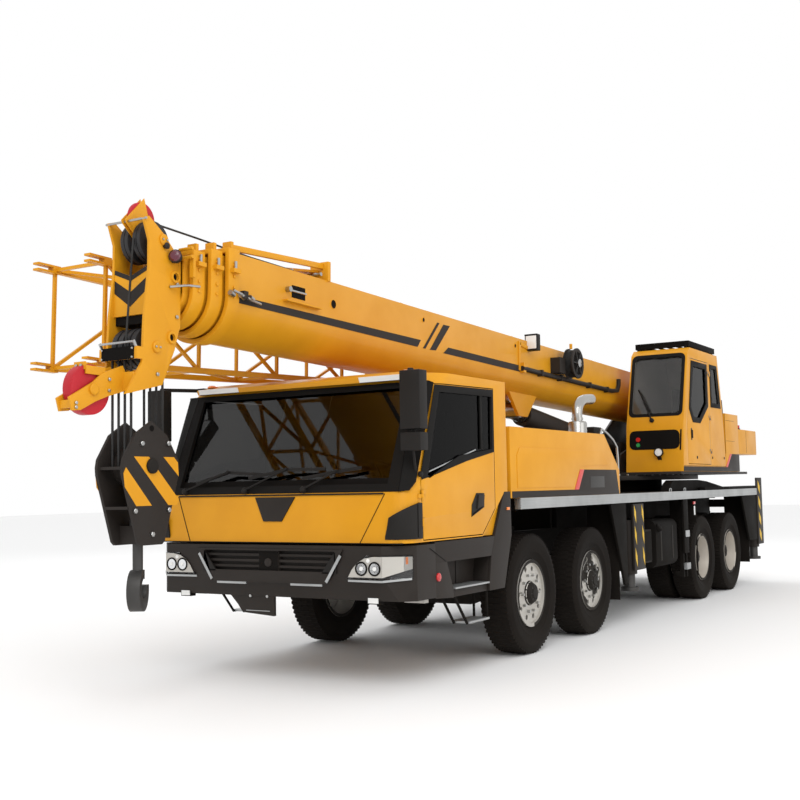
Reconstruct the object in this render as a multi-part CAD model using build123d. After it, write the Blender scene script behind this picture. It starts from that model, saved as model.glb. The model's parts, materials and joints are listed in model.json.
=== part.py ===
from build123d import *
import math
import os

os.makedirs("parts", exist_ok=True)

# Four-axle truck crane with a telescopic boom, in millimetres.
# +X is forward, +Y is the driver's left, +Z is up, and z = 0 is the ground.
# Lengths along X are measured from the first axle, and save() moves every piece
# so that the part's origin lies under the middle of its outline.

# Overall
WIDTH = 2500
HALF_WIDTH = WIDTH / 2
REAR_END = -8400
RUNNING_GAP = 0.3
MOVING_GAP = 10

# Axles and wheels
AXLE_SPACING_FRONT = 1465
AXLE_SPACING_REAR = 1340
FIRST_REAR_AXLE = -5270
FRONT_AXLES = (0, -AXLE_SPACING_FRONT)
REAR_AXLES = (FIRST_REAR_AXLE, FIRST_REAR_AXLE - AXLE_SPACING_REAR)
TYRE_RADIUS = 542
TYRE_WIDTH = 300
TYRE_SHOULDER = 35
TYRE_SIDE = 110
BEAD_LIFT = 6
RIM_RADIUS = 286
RIM_WIDTH = 228
RIM_WALL = 14
FLANGE_LIP = 12
DISC_THICK = 16
FLANGE_RADIUS = 302
FRONT_TRACK = 2086
REAR_OUTER_Y = 1070
TWIN_SPACING = 340
REAR_INNER_Y = REAR_OUTER_Y - TWIN_SPACING
RIM_DISH = 100
HUB_RADIUS = 110
SPINDLE_RADIUS = 45
HAND_HOLES = 10
HAND_HOLE_RADIUS = 24
HAND_HOLE_CIRCLE = 225

# Steering
KING_PIN_Y = 820
KING_PIN_RADIUS = 25
KNUCKLE_HEIGHT = 240
KNUCKLE_WIDTH = 110
JAW_WEB = 22
BEAM_DEPTH = 120
BEAM_WIDTH = 100
BEAM_DROP = 60

# Chassis
RAIL_TOP = 1040
RAIL_DEPTH = 280
RAIL_OUTER_Y = 430
RAIL_WEB = 14
RAIL_FLANGE = 90
RAIL_FRONT = 2020
BOX_FRONT = -2300
BOX_REAR = REAR_END + 40
BOX_BOTTOM = 880
SLEW_X = -5300
SLEW_RING_RADIUS = 640
SLEW_RING_TOP = 1560
DECK_TOP = 1410
DECK_EDGE_HEIGHT = 100
DECK_EDGE_DEPTH = 60
DECK_FRONT = 360
DECK_REAR = -8040
DECK_PLATE = 12
BOX_TOP = DECK_TOP - DECK_PLATE

# Carrier cab
CAB_FRONT = 2330
CAB_REAR = 620
CAB_FLOOR = 1110
CAB_ROOF = 2420
CAB_WALL = 45
CAB_CORNER = 150
SILL_Z = 1490
SCREEN_FOOT_X = 2262
SCREEN_HEAD_X = 1900
SCREEN_HEAD_Z = 2350
DOOR_FRONT = 2080
DOOR_REAR = 860
DOOR_THICK = 45
DOOR_GAP = 8
BUMPER_FRONT = 2370
BUMPER_TOP = 1090
BUMPER_BOTTOM = 680

# Engine hood
HOOD_FRONT = 550
HOOD_TOP_REAR = -1720
HOOD_TAIL = -2140
HOOD_TOP = 2040
HOOD_TAIL_Z = 1670
HOOD_BOTTOM = DECK_TOP + RUNNING_GAP
HOOD_WALL = 25

# Turntable
TABLE_BOTTOM = SLEW_RING_TOP + RUNNING_GAP
TABLE_PLATE = 60
TABLE_RADIUS = 1120
CHEEK_INNER = 345
CHEEK_THICK = 30

# Crane cab
CC_LEFT = 1250
CC_RIGHT = 500
CC_FRONT = -4420
CC_REAR = -6300
CC_FLOOR = 1660
CC_ROOF = 3265
CC_WALL = 40

# Boom, in its own axes: +X along the boom from its foot pin
BOOM_ANGLE = 1.5
FOOT_X = -6950
FOOT_Z = 2640
BOOM_TAIL = -330
BASE_LENGTH = 10160
BASE_HEIGHT = 635
BASE_WIDTH = 600
BASE_BOTTOM = -280
SECTION_WALL = 12
SECTION_GAP = 22
COLLAR_LENGTH = 120
COLLAR_PROUD = 22
COLLAR_PITCH = 150
FOOT_PIN_RADIUS = 60
NOSE_TIP = (11385, -805)
NOSE_REACH = NOSE_TIP[0] * math.cos(math.radians(BOOM_ANGLE))
NOSE_END = FOOT_X + NOSE_REACH - NOSE_TIP[1] * math.sin(math.radians(BOOM_ANGLE))
FRONT_AXLE_X = -(REAR_END + NOSE_END) / 2

# Luffing cylinder
LUFF_BASE_X = -5200
LUFF_BASE_Z = 1990
LUFF_EYE_ALONG = 4900
LUFF_EYE_DROP = -395
BARREL_RADIUS = 125
ROD_RADIUS = 90
LUFF_PIN_RADIUS = 45

# Outriggers
OUTRIGGER_FRONT_X = -2700
OUTRIGGER_REAR_X = -8190
BEAM_BOX_WIDTH = 330
BEAM_BOX_HEIGHT = 320
BEAM_BOX_BOTTOM = BOX_BOTTOM - BEAM_BOX_HEIGHT
BEAM_BOX_WALL = 14
BEAM_GAP = 4
BEAM_PAD = 80
JACK_RADIUS = 85
JACK_ROD_RADIUS = 60
JACK_INSET = 15
PAD_RADIUS = 200
PAD_BOTTOM = 335
# middle, half length and top of the cover on the end of a beam, at each beam's x
END_COVERS = {
    OUTRIGGER_FRONT_X: (OUTRIGGER_FRONT_X, 170, 1290),
    OUTRIGGER_REAR_X: (-8205, 155, 1570),
}


def place(shape):
    """Move a piece from the front-axle frame to the part's frame."""
    return Pos(FRONT_AXLE_X, 0, 0) * shape


def save(name, *shapes):
    """Write one node's solids."""
    solids = []
    for shape in shapes:
        solids.extend(shape.solids())
    whole = solids[0] if len(solids) == 1 else Compound(solids)
    export_step(place(whole), f"parts/{name}.step")


def block(x0, x1, y0, y1, z0, z1):
    """A box between two corners."""
    middle = ((x0 + x1) / 2, (y0 + y1) / 2, (z0 + z1) / 2)
    return Pos(*middle) * Box(abs(x1 - x0), abs(y1 - y0), abs(z1 - z0))


def rod_x(x0, x1, y, z, radius):
    """A round bar along X."""
    return Pos((x0 + x1) / 2, y, z) * Rot(0, 90, 0) * Cylinder(radius, abs(x1 - x0))


def rod_y(x, y0, y1, z, radius):
    """A round bar along Y."""
    return Pos(x, (y0 + y1) / 2, z) * Rot(90, 0, 0) * Cylinder(radius, abs(y1 - y0))


def rod_z(x, y, z0, z1, radius):
    """A round bar along Z."""
    return Pos(x, y, (z0 + z1) / 2) * Cylinder(radius, abs(z1 - z0))


def plate_xz(points, y0, y1):
    """A profile in side view, extruded across the machine."""
    face = make_face(Polyline(*[(x, y1, z) for x, z in points], close=True))
    return extrude(face, amount=y1 - y0, dir=(0, -1, 0))


def plate_yz(points, x0, x1):
    """A profile in front view, extruded along the machine."""
    face = make_face(Polyline(*[(x0, y, z) for y, z in points], close=True))
    return extrude(face, amount=x1 - x0, dir=(1, 0, 0))


def plate_xy(points, z0, z1):
    """A profile in plan, extruded upwards."""
    face = make_face(Polyline(*[(x, y, z0) for x, y in points], close=True))
    return extrude(face, amount=z1 - z0, dir=(0, 0, 1))


def both_sides(shape):
    """The piece and its mirror image on the other side of the machine."""
    return shape + mirror(shape, about=Plane.XZ)


def turn_about_y(points):
    """A body of revolution about Y from (radius, y) points."""
    face = make_face(Polyline(*[(r, y, 0) for r, y in points], close=True))
    return revolve(face, axis=Axis.Y)


def strut(start, end, radius):
    """A round bar between two points."""
    a = Vector(*start)
    b = Vector(*end)
    plane = Plane(origin=a, z_dir=b - a)
    return extrude(plane * Circle(radius), amount=(b - a).length)


# Wheels: the outer face of a wheel looks along +Y, at the origin
def tyre(y):
    """A tyre about Y with its middle plane at y."""
    half = TYRE_WIDTH / 2
    seat = RIM_RADIUS + BEAD_LIFT
    heel = FLANGE_RADIUS + BEAD_LIFT
    bead = RIM_WIDTH / 2 - RUNNING_GAP
    points = [
        (seat, y - bead),
        (heel, y - bead),
        (TYRE_RADIUS - TYRE_SIDE, y - half),
        (TYRE_RADIUS, y - half + TYRE_SHOULDER),
        (TYRE_RADIUS, y + half - TYRE_SHOULDER),
        (TYRE_RADIUS - TYRE_SIDE, y + half),
        (heel, y + bead),
        (seat, y + bead),
    ]
    return turn_about_y(points)


def rim(y, disc_y, bore):
    """A rim about Y with its disc's outer face at disc_y and a round bore."""
    half = RIM_WIDTH / 2
    inner = RIM_RADIUS - RIM_WALL
    barrel = turn_about_y(
        [
            (inner, y - half - FLANGE_LIP),
            (FLANGE_RADIUS, y - half - FLANGE_LIP),
            (FLANGE_RADIUS, y - half),
            (RIM_RADIUS, y - half),
            (RIM_RADIUS, y + half),
            (FLANGE_RADIUS, y + half),
            (FLANGE_RADIUS, y + half + FLANGE_LIP),
            (inner, y + half + FLANGE_LIP),
        ]
    )
    disc = rod_y(0, disc_y - DISC_THICK, disc_y, 0, inner + 2)
    disc -= rod_y(0, disc_y - DISC_THICK, disc_y, 0, bore)
    for n in range(HAND_HOLES):
        hole = rod_y(HAND_HOLE_CIRCLE, disc_y - DISC_THICK, disc_y, 0, HAND_HOLE_RADIUS)
        disc -= Rot(0, 360 / HAND_HOLES * n, 0) * hole
    return barrel + disc


def front_wheel(side):
    """Tyre, rim and hub of a steered wheel at its axle's middle."""
    centre = FRONT_TRACK / 2
    bore = SPINDLE_RADIUS + RUNNING_GAP
    hub = turn_about_y(
        [
            (bore, centre - 60),
            (HUB_RADIUS, centre - 60),
            (HUB_RADIUS, centre + 100),
            (HUB_RADIUS - 30, centre + 150),
            (20, centre + 150),
            (20, centre + 130),
            (bore, centre + 130),
        ]
    )
    wheel = rim(centre, centre + RIM_DISH, HUB_RADIUS - 1) + hub
    return [flip(tyre(centre), side), flip(wheel, side)]


def rear_wheels(side):
    """Two tyres, two rims and the hub of a driven wheel pair."""
    bore = SPINDLE_RADIUS + RUNNING_GAP
    seat = (REAR_OUTER_Y + REAR_INNER_Y) / 2
    hub = turn_about_y(
        [
            (bore, REAR_INNER_Y - 20),
            (HUB_RADIUS, REAR_INNER_Y - 20),
            (HUB_RADIUS, REAR_OUTER_Y - 40),
            (HUB_RADIUS - 30, REAR_OUTER_Y + 60),
            (20, REAR_OUTER_Y + 60),
            (20, REAR_OUTER_Y + 40),
            (bore, REAR_OUTER_Y + 40),
        ]
    )
    inner = rim(0, RIM_DISH, HUB_RADIUS - 1)
    outer = mirror(inner, about=Plane.XZ)
    wheel = hub + Pos(0, REAR_OUTER_Y, 0) * outer + Pos(0, REAR_INNER_Y, 0) * inner
    drum_half = (REAR_OUTER_Y - REAR_INNER_Y) / 2 - RIM_DISH + DISC_THICK / 2
    wheel += rod_y(0, seat - drum_half, seat + drum_half, 0, HUB_RADIUS + 78)
    wheel -= rod_y(0, seat - drum_half - 1, seat + drum_half + 1, 0, bore)
    pair = [tyre(REAR_OUTER_Y), tyre(REAR_INNER_Y), wheel]
    return [flip(piece, side) for piece in pair]


def flip(shape, side):
    """The left piece as it is, or its mirror image on the right."""
    return shape if side == "left" else mirror(shape, about=Plane.XZ)


for side in ("left", "right"):
    for number, x in enumerate(FRONT_AXLES, start=1):
        pieces = [Pos(x, 0, TYRE_RADIUS) * piece for piece in front_wheel(side)]
        save(f"wheel_{number}_{side}", *pieces)
    for number, x in enumerate(REAR_AXLES, start=3):
        pieces = [Pos(x, 0, TYRE_RADIUS) * piece for piece in rear_wheels(side)]
        save(f"wheels_{number}_{side}", *pieces)


# Steering knuckles: a jaw over the beam's end, a king pin and a spindle
def knuckle(side):
    """A left or right steering knuckle at its axle's middle."""
    half = KNUCKLE_HEIGHT / 2
    width = KNUCKLE_WIDTH / 2
    jaw_in = KING_PIN_Y + BEAM_WIDTH / 2 + MOVING_GAP / 2
    jaw_out = jaw_in + JAW_WEB
    body = block(-width, width, KING_PIN_Y - width, jaw_out, -half, half)
    gap = BEAM_DEPTH / 2 + RUNNING_GAP
    body -= block(-width, width, KING_PIN_Y - width, jaw_in, -gap, gap)
    body += rod_z(0, KING_PIN_Y, -half, half, KING_PIN_RADIUS)
    body += rod_y(0, jaw_out - 1, FRONT_TRACK / 2 + 120, 0, SPINDLE_RADIUS)
    arm = block(-190, -width + 1, KING_PIN_Y - 50, KING_PIN_Y - 15, -half, -half + 40)
    return flip(body + arm, side)


for side in ("left", "right"):
    for number, x in enumerate(FRONT_AXLES, start=1):
        save(f"knuckle_{number}_{side}", Pos(x, 0, TYRE_RADIUS) * knuckle(side))


# Axle beams, springs and differential housings
def steer_beam(x):
    """A dropped forged beam with an eye at each end for the king pin."""
    end = KING_PIN_Y
    half = BEAM_DEPTH / 2
    drop = BEAM_DROP
    points = [
        (-end, -half),
        (-end, half),
        (-KING_PIN_Y + 90, half),
        (-560, half - drop),
        (560, half - drop),
        (KING_PIN_Y - 90, half),
        (end, half),
        (end, -half),
        (KING_PIN_Y - 90, -half),
        (560, -half - drop),
        (-560, -half - drop),
        (-KING_PIN_Y + 90, -half),
    ]
    beam = plate_yz(points, -BEAM_WIDTH / 2, BEAM_WIDTH / 2)
    beam += both_sides(rod_z(0, KING_PIN_Y, -half, half, BEAM_WIDTH / 2))
    beam -= both_sides(rod_z(0, KING_PIN_Y, -half, half, KING_PIN_RADIUS + RUNNING_GAP))
    return Pos(x, 0, TYRE_RADIUS) * beam


def leaf_spring(x, y, seat_z, half_length):
    """A stack of leaves, longest on top, on the axle's seat."""
    stack = None
    for n in range(4):
        reach = half_length * (1 - 0.18 * (3 - n))
        leaf = block(x - reach, x + reach, y - 45, y + 45, seat_z + 26 * n, seat_z + 26 * n + 26)
        stack = leaf if stack is None else stack + leaf
    return stack


def drive_axle(x):
    """A driven axle: banjo housing, tubes and a nose for the shaft."""
    half = REAR_INNER_Y + 300
    tube = rod_y(x, -(REAR_INNER_Y - 40), REAR_INNER_Y - 40, TYRE_RADIUS, 75)
    stub = rod_y(x, -half, half, TYRE_RADIUS, SPINDLE_RADIUS)
    bowl = Pos(x, 0, TYRE_RADIUS) * Rot(90, 0, 0) * Cylinder(215, 170)
    nose = rod_x(x, x + 330, 0, TYRE_RADIUS, 90)
    return tube + stub + bowl + nose


SPRING_Y = 385
FRONT_SPRING_Z = TYRE_RADIUS - BEAM_DROP + BEAM_DEPTH / 2
REAR_SPRING_Z = TYRE_RADIUS + 75
axle_pieces = []
for x in FRONT_AXLES:
    beam = steer_beam(x)
    for y in (-SPRING_Y, SPRING_Y):
        beam += leaf_spring(x, y, FRONT_SPRING_Z, 560)
        for end in (-1, 1):
            bar_x = x + end * 500
            beam += block(bar_x - 25, bar_x + 25, y - 25, y + 25, FRONT_SPRING_Z + 90, RAIL_TOP - RAIL_DEPTH)
    axle_pieces.append(beam)
for x in REAR_AXLES:
    axle_pieces.append(drive_axle(x))
bogie = axle_pieces.pop() + axle_pieces.pop()
MID_REAR = sum(REAR_AXLES) / 2
for y in (-SPRING_Y, SPRING_Y):
    bogie += block(REAR_AXLES[1] - 60, REAR_AXLES[0] + 60, y - 45, y + 45, REAR_SPRING_Z, REAR_SPRING_Z + 110)
    bogie += block(MID_REAR - 90, MID_REAR + 90, y - 44, y + 44, REAR_SPRING_Z + 109, BOX_BOTTOM)
    for x in REAR_AXLES:
        bogie += block(x - 60, x + 60, y - 45, y + 45, TYRE_RADIUS, REAR_SPRING_Z + 1)
bogie += rod_x(REAR_AXLES[1], REAR_AXLES[0], 0, TYRE_RADIUS, 45)
save("axles", *axle_pieces, bogie)

# Chassis: two channel rails in front, a torsion box behind, and the slew ring
RAIL_BOTTOM = RAIL_TOP - RAIL_DEPTH
rail = block(BOX_FRONT - 10, RAIL_FRONT, RAIL_OUTER_Y - RAIL_FLANGE, RAIL_OUTER_Y, RAIL_BOTTOM, RAIL_TOP)
rail -= block(
    BOX_FRONT,
    RAIL_FRONT,
    RAIL_OUTER_Y - RAIL_FLANGE,
    RAIL_OUTER_Y - RAIL_WEB,
    RAIL_TOP - RAIL_DEPTH + RAIL_WEB,
    RAIL_TOP - RAIL_WEB,
)
frame = both_sides(rail)
frame += block(BOX_REAR, BOX_FRONT, -RAIL_OUTER_Y, RAIL_OUTER_Y, BOX_BOTTOM, BOX_TOP)
frame -= block(BOX_REAR, BOX_FRONT - 200, -RAIL_OUTER_Y + 120, RAIL_OUTER_Y - 120, BOX_BOTTOM, BOX_TOP - 40)
for x in (RAIL_FRONT - 60, 700, -700, -2000):
    frame += block(x - 40, x + 40, -RAIL_OUTER_Y + 10, RAIL_OUTER_Y - 10, RAIL_BOTTOM + 20, RAIL_TOP - 20)
frame += rod_z(SLEW_X, 0, BOX_TOP - 20, SLEW_RING_TOP, SLEW_RING_RADIUS)
BRACKET_HALF = 20
BRACKET_DEPTH = 100
bracket_end = HALF_WIDTH - DECK_EDGE_DEPTH
for x in (320, -732, -2150, -3000, -4300, -5950, -7300, -7900):
    low = BOX_TOP - BRACKET_DEPTH
    bracket = block(x - BRACKET_HALF, x + BRACKET_HALF, RAIL_OUTER_Y - 5, bracket_end, low, BOX_TOP)
    if x > BOX_FRONT:
        inner = RAIL_OUTER_Y - RAIL_FLANGE
        bracket += block(x - BRACKET_HALF, x + BRACKET_HALF, inner, RAIL_OUTER_Y, RAIL_TOP - 5, BOX_TOP)
    frame += both_sides(bracket)
CAB_MOUNTS = (760, 1820)
for x in CAB_MOUNTS:
    foot_block = block(x - 50, x + 50, RAIL_OUTER_Y - RAIL_FLANGE, RAIL_OUTER_Y, RAIL_TOP - 5, CAB_FLOOR)
    frame += both_sides(foot_block)
STEP_BRACKET_X = 740
step_bar = block(STEP_BRACKET_X, STEP_BRACKET_X + 40, RAIL_OUTER_Y - 5, HALF_WIDTH - 28, 900, 960)
frame += both_sides(step_bar)

def beam_box(x):
    """The two crossing tubes that carry a pair of beams."""
    wall = BEAM_BOX_WALL
    top = BEAM_BOX_BOTTOM + BEAM_BOX_HEIGHT
    reach = HALF_WIDTH - JACK_INSET - 2 * JACK_RADIUS - MOVING_GAP
    tube = None
    for offset_x in (-1, 1):
        centre = x + offset_x * BEAM_BOX_WIDTH / 4
        half = BEAM_BOX_WIDTH / 4
        outer = block(centre - half, centre + half, -reach, reach, BEAM_BOX_BOTTOM, top)
        inside = half - wall
        inner = block(centre - inside, centre + inside, -reach, reach, BEAM_BOX_BOTTOM + wall, top - wall)
        lane = outer - inner
        pad_top = BEAM_BOX_BOTTOM + wall + BEAM_GAP - RUNNING_GAP
        for mouth in (-1, 1):
            far = mouth * reach
            near = mouth * (reach - BEAM_PAD)
            lane += block(centre - half + wall, centre + half - wall, near, far, BEAM_BOX_BOTTOM + 1, pad_top)
        tube = lane if tube is None else tube + lane
    return tube


for x in (OUTRIGGER_FRONT_X, OUTRIGGER_REAR_X):
    frame += beam_box(x)
LAMP_BAR_HALF = 800
LAMP_BAR_Z = (1120, 1240)
frame += block(REAR_END, BOX_REAR + 1, -LAMP_BAR_HALF, LAMP_BAR_HALF, *LAMP_BAR_Z)
frame += block(BOX_REAR - 25, BOX_REAR + 1, -RAIL_OUTER_Y, RAIL_OUTER_Y, 930, 1060)
save("chassis_frame", frame)

# Deck plates and their bright edge
ring_hole = rod_z(SLEW_X, 0, BOX_TOP - 10, DECK_TOP + 10, SLEW_RING_RADIUS + MOVING_GAP)
deck_end = HALF_WIDTH - DECK_EDGE_DEPTH
deck_side = block(DECK_REAR, DECK_FRONT, RAIL_OUTER_Y - RAIL_FLANGE, deck_end, BOX_TOP, DECK_TOP)
deck = both_sides(deck_side)
deck += block(DECK_REAR, BOX_FRONT - 60, -RAIL_OUTER_Y, RAIL_OUTER_Y, BOX_TOP, DECK_TOP)
deck -= ring_hole
EDGE_BOTTOM = DECK_TOP - DECK_EDGE_HEIGHT
edge = block(DECK_REAR, DECK_FRONT, HALF_WIDTH - DECK_EDGE_DEPTH, HALF_WIDTH, EDGE_BOTTOM, DECK_TOP)
save("deck_plates", deck)
save("deck_edges", edge, mirror(edge, about=Plane.XZ))

# Fender panels beside the wheels, in side view, under the deck's edge
# (front at top, rear at top, top z, front at bottom, rear at bottom, bottom z)
FENDER_TOP = DECK_TOP - DECK_EDGE_HEIGHT - RUNNING_GAP
FENDERS = [
    (-1870, -2330, FENDER_TOP, -2235, -2330, 430),
    (-4380, -4560, FENDER_TOP, -4380, -4560, 640),
    (-7200, -8010, FENDER_TOP, -7560, -8010, 640),
]
FENDER_DEPTH = 28
FENDER_INSET = 10
STEP_PANEL = [(556, 1470), (680, 1470), (1620, 665), (1000, 665)]
STEP_DEPTH = 28
fenders = []
for top_front, top_rear, top_z, low_front, low_rear, low_z in FENDERS:
    outline = [(top_rear, top_z), (top_front, top_z), (low_front, low_z), (low_rear, low_z)]
    outer = HALF_WIDTH - FENDER_INSET
    fenders.append(plate_xz(outline, outer - FENDER_DEPTH, outer))
step_panel = plate_xz(STEP_PANEL, HALF_WIDTH - STEP_DEPTH, HALF_WIDTH)
step_panel += block(1010, 1560, 1000, HALF_WIDTH - 1, 665, 700)
fenders.append(step_panel)
for panel in list(fenders):
    fenders.append(mirror(panel, about=Plane.XZ))
save("fenders", *fenders)


# Carrier cab
def cab_block(inset):
    """The cab's outer form, or its inner form when inset by the wall."""
    outline = Polyline(
        (CAB_REAR, CAB_FLOOR),
        (CAB_FRONT, CAB_FLOOR),
        (SCREEN_FOOT_X, SILL_Z),
        (SCREEN_HEAD_X, SCREEN_HEAD_Z),
        (SCREEN_HEAD_X - 90, CAB_ROOF),
        (CAB_REAR, CAB_ROOF),
        close=True,
    )
    face = make_face(outline)
    if inset:
        face = offset(face, amount=-inset, kind=Kind.INTERSECTION)
    half = HALF_WIDTH - inset
    solid = extrude(Plane.XZ * face, amount=half, both=True)
    front = [e for e in solid.edges() if is_front_side(e, half)]
    return fillet(front, CAB_CORNER - inset)


def is_front_side(edge, half):
    """True for the slanting edges between the cab's front and its sides."""
    middle = edge @ 0.5
    along_side = abs(abs(middle.Y) - half) < 1
    return along_side and middle.X > SCREEN_HEAD_X - 60 and middle.Z > CAB_FLOOR + CAB_WALL + 5


cab = cab_block(0) - cab_block(CAB_WALL)
screen_cut = plate_xz(
    [
        (SCREEN_FOOT_X - 200, SILL_Z + 40),
        (SCREEN_FOOT_X + 100, SILL_Z + 40),
        (SCREEN_HEAD_X + 100, SCREEN_HEAD_Z - 30),
        (SCREEN_HEAD_X - 200, SCREEN_HEAD_Z - 30),
    ],
    -1060,
    1060,
)
DOOR_OUTLINE = [
    (DOOR_REAR, 1330),
    (1105, CAB_FLOOR + 10),
    (DOOR_FRONT, CAB_FLOOR + 10),
    (DOOR_FRONT + 25, 1560),
    (1850, 2330),
    (DOOR_REAR - 10, 2350),
]
WINDOW_OUTLINE = [
    (DOOR_REAR + 40, 1825),
    (1480, 1760),
    (1960, 1590),
    (2010, 1600),
    (1800, 2270),
    (DOOR_REAR + 30, 2285),
]
cab -= screen_cut
door_hole = plate_xz(DOOR_OUTLINE, HALF_WIDTH - 200, HALF_WIDTH + 10)
cab -= both_sides(door_hole)
panel_seat = make_face(Polyline(*[(x, 0, z) for x, z in STEP_PANEL], close=True))
panel_seat = offset(panel_seat, amount=RUNNING_GAP, kind=Kind.INTERSECTION)
panel_seat = Pos(0, HALF_WIDTH + 5, 0) * panel_seat
cab -= both_sides(extrude(panel_seat, amount=STEP_DEPTH + 5 + RUNNING_GAP, dir=(0, -1, 0)))
visor = plate_xz(
    [
        (SCREEN_HEAD_X - 140, CAB_ROOF - 10),
        (SCREEN_HEAD_X + 60, CAB_ROOF - 60),
        (SCREEN_HEAD_X + 75, CAB_ROOF - 20),
        (SCREEN_HEAD_X - 140, CAB_ROOF + 30),
    ],
    -1080,
    1080,
)
cab += visor - cab_block(CAB_WALL)
# Door hinges: (x, y) of the axis, the leaf's reach and the two heights
HINGE_X = 2100
HINGE_Y = HALF_WIDTH + 12
HINGE_RADIUS = 12
HINGE_LEAF = 50
HINGE_HALF = 30
HINGE_HEIGHTS = (1230, 1440)


def hinge_half(x, z, reach, seat):
    """One half of a hinge: a barrel and a leaf whose far end is let into its carrier."""
    half = rod_z(x, HINGE_Y, z, z + HINGE_HALF, HINGE_RADIUS)
    half += block(x, x + reach, HALF_WIDTH + RUNNING_GAP, HINGE_Y, z, z + HINGE_HALF)
    return half + block(x + seat, x + reach, HALF_WIDTH - 5, HINGE_Y, z, z + HINGE_HALF)


for z in HINGE_HEIGHTS:
    cab += both_sides(hinge_half(HINGE_X, z, HINGE_LEAF, HINGE_LEAF / 2))
save("cab_shell", cab)


def cab_door():
    """The left door with its window cut out."""
    face = make_face(Polyline(*[(x, 0, z) for x, z in DOOR_OUTLINE], close=True))
    inner = offset(face, amount=-DOOR_GAP, kind=Kind.INTERSECTION)
    door = extrude(Pos(0, HALF_WIDTH, 0) * inner, amount=DOOR_THICK, dir=(0, -1, 0))
    door -= plate_xz(WINDOW_OUTLINE, HALF_WIDTH - 200, HALF_WIDTH + 10)
    for z in HINGE_HEIGHTS:
        door += hinge_half(HINGE_X, z + HINGE_HALF + RUNNING_GAP, -HINGE_LEAF, -HINGE_LEAF / 2 - 10)
    return door


def pane(outline, gap, y, thickness):
    """A flat pane in side view, a little smaller than its opening."""
    face = make_face(Polyline(*[(x, 0, z) for x, z in outline], close=True))
    inner = offset(face, amount=-gap, kind=Kind.INTERSECTION)
    return extrude(Pos(0, y, 0) * inner, amount=thickness, dir=(0, -1, 0))


GLASS = 6
left_door = cab_door()
left_pane = pane(WINDOW_OUTLINE, RUNNING_GAP, HALF_WIDTH - 15, GLASS)
for side in ("left", "right"):
    save(f"cab_door_{side}", flip(left_door, side))
    save(f"door_glass_{side}", flip(left_pane, side))

screen = plate_xz(
    [
        (SCREEN_FOOT_X - 60, SILL_Z + 41),
        (SCREEN_FOOT_X - 52, SILL_Z + 41),
        (SCREEN_HEAD_X - 10, SCREEN_HEAD_Z - 31),
        (SCREEN_HEAD_X - 18, SCREEN_HEAD_Z - 31),
    ],
    -1060 + RUNNING_GAP,
    1060 - RUNNING_GAP,
)
save("windscreen", screen)

# Seats, dashboard and steering wheel
inside = []
for y in (-650, 650):
    seat = block(1000, 1500, y - 250, y + 250, CAB_FLOOR + CAB_WALL, CAB_FLOOR + 450)
    seat += block(940, 1080, y - 250, y + 250, CAB_FLOOR + 300, CAB_FLOOR + 1050)
    inside.append(seat)
dash = block(1800, 2150, -1100, 1100, CAB_FLOOR + CAB_WALL, SILL_Z - 40)
column = strut((1850, 650, SILL_Z - 60), (1700, 650, SILL_Z + 60), 30)
wheel_plane = Plane(origin=(1700, 650, SILL_Z + 60), z_dir=(-150, 0, 120))
ring = extrude(wheel_plane * (Circle(230) - Circle(205)), amount=25)
spoke = extrude(wheel_plane * Rectangle(430, 40), amount=20)
inside.append(dash + column + ring + spoke)
save("cab_inside", *inside)

# Bumper, lamps and mirrors
LAMP_INNER = 750
LAMP_LOW = BUMPER_TOP - 240
LAMP_HIGH = BUMPER_TOP - 70
LAMP_BACK = BUMPER_FRONT - 70


def lamp_form(gap, proud):
    """The left head lamp round the bumper's corner, larger by a gap and standing proud of the bumper."""
    corner = BUMPER_FRONT + HALF_WIDTH - 190
    outer = corner + 1.414 * proud
    back = corner - 75 - gap
    depth = (outer - back) / 2
    end = 2165 - gap
    plan = [
        (LAMP_BACK - gap, LAMP_INNER - gap),
        (BUMPER_FRONT + proud, LAMP_INNER - gap),
        (BUMPER_FRONT + proud, outer - BUMPER_FRONT - proud),
        (end + depth, back - end + depth),
        (end, back - end),
        (LAMP_BACK - gap, back - LAMP_BACK + gap),
    ]
    shape = plate_xy(plan, LAMP_LOW - gap, LAMP_HIGH + gap)
    start = LAMP_INNER - 1.5 * gap - 20
    rise = LAMP_HIGH - LAMP_LOW + 40
    slope = [(start, LAMP_LOW - 20), (start, LAMP_HIGH + 20), (start + rise, LAMP_HIGH + 20)]
    return shape - plate_yz(slope, LAMP_BACK - 20, BUMPER_FRONT + proud + 20)


bumper_plan = [
    (1900, HALF_WIDTH),
    (2180, HALF_WIDTH),
    (BUMPER_FRONT, HALF_WIDTH - 190),
    (BUMPER_FRONT, -HALF_WIDTH + 190),
    (2180, -HALF_WIDTH),
    (1900, -HALF_WIDTH),
]
bumper = plate_xy(bumper_plan, BUMPER_BOTTOM, BUMPER_TOP)
bumper -= plate_xz(
    [(BUMPER_FRONT + 5, 880), (BUMPER_FRONT + 5, BUMPER_BOTTOM - 5), (BUMPER_FRONT - 90, BUMPER_BOTTOM - 5)],
    -HALF_WIDTH - 5,
    HALF_WIDTH + 5,
)
bumper_back = BUMPER_FRONT - 130
hollow = [(1800, HALF_WIDTH - 80), (2140, HALF_WIDTH - 80), (bumper_back, HALF_WIDTH - 180)]
hollow += [(x, -y) for x, y in reversed(hollow)]
bumper -= plate_xy(hollow, BUMPER_BOTTOM - 10, BUMPER_TOP - 30)
bumper -= block(BUMPER_FRONT - 60, BUMPER_FRONT + 10, -640, 640, BUMPER_BOTTOM + 210, BUMPER_TOP - 40)
for n in range(3):
    z = BUMPER_BOTTOM + 232 + 45 * n
    bumper += block(BUMPER_FRONT - 62, BUMPER_FRONT - 20, -641, 641, z, z + 20)
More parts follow.
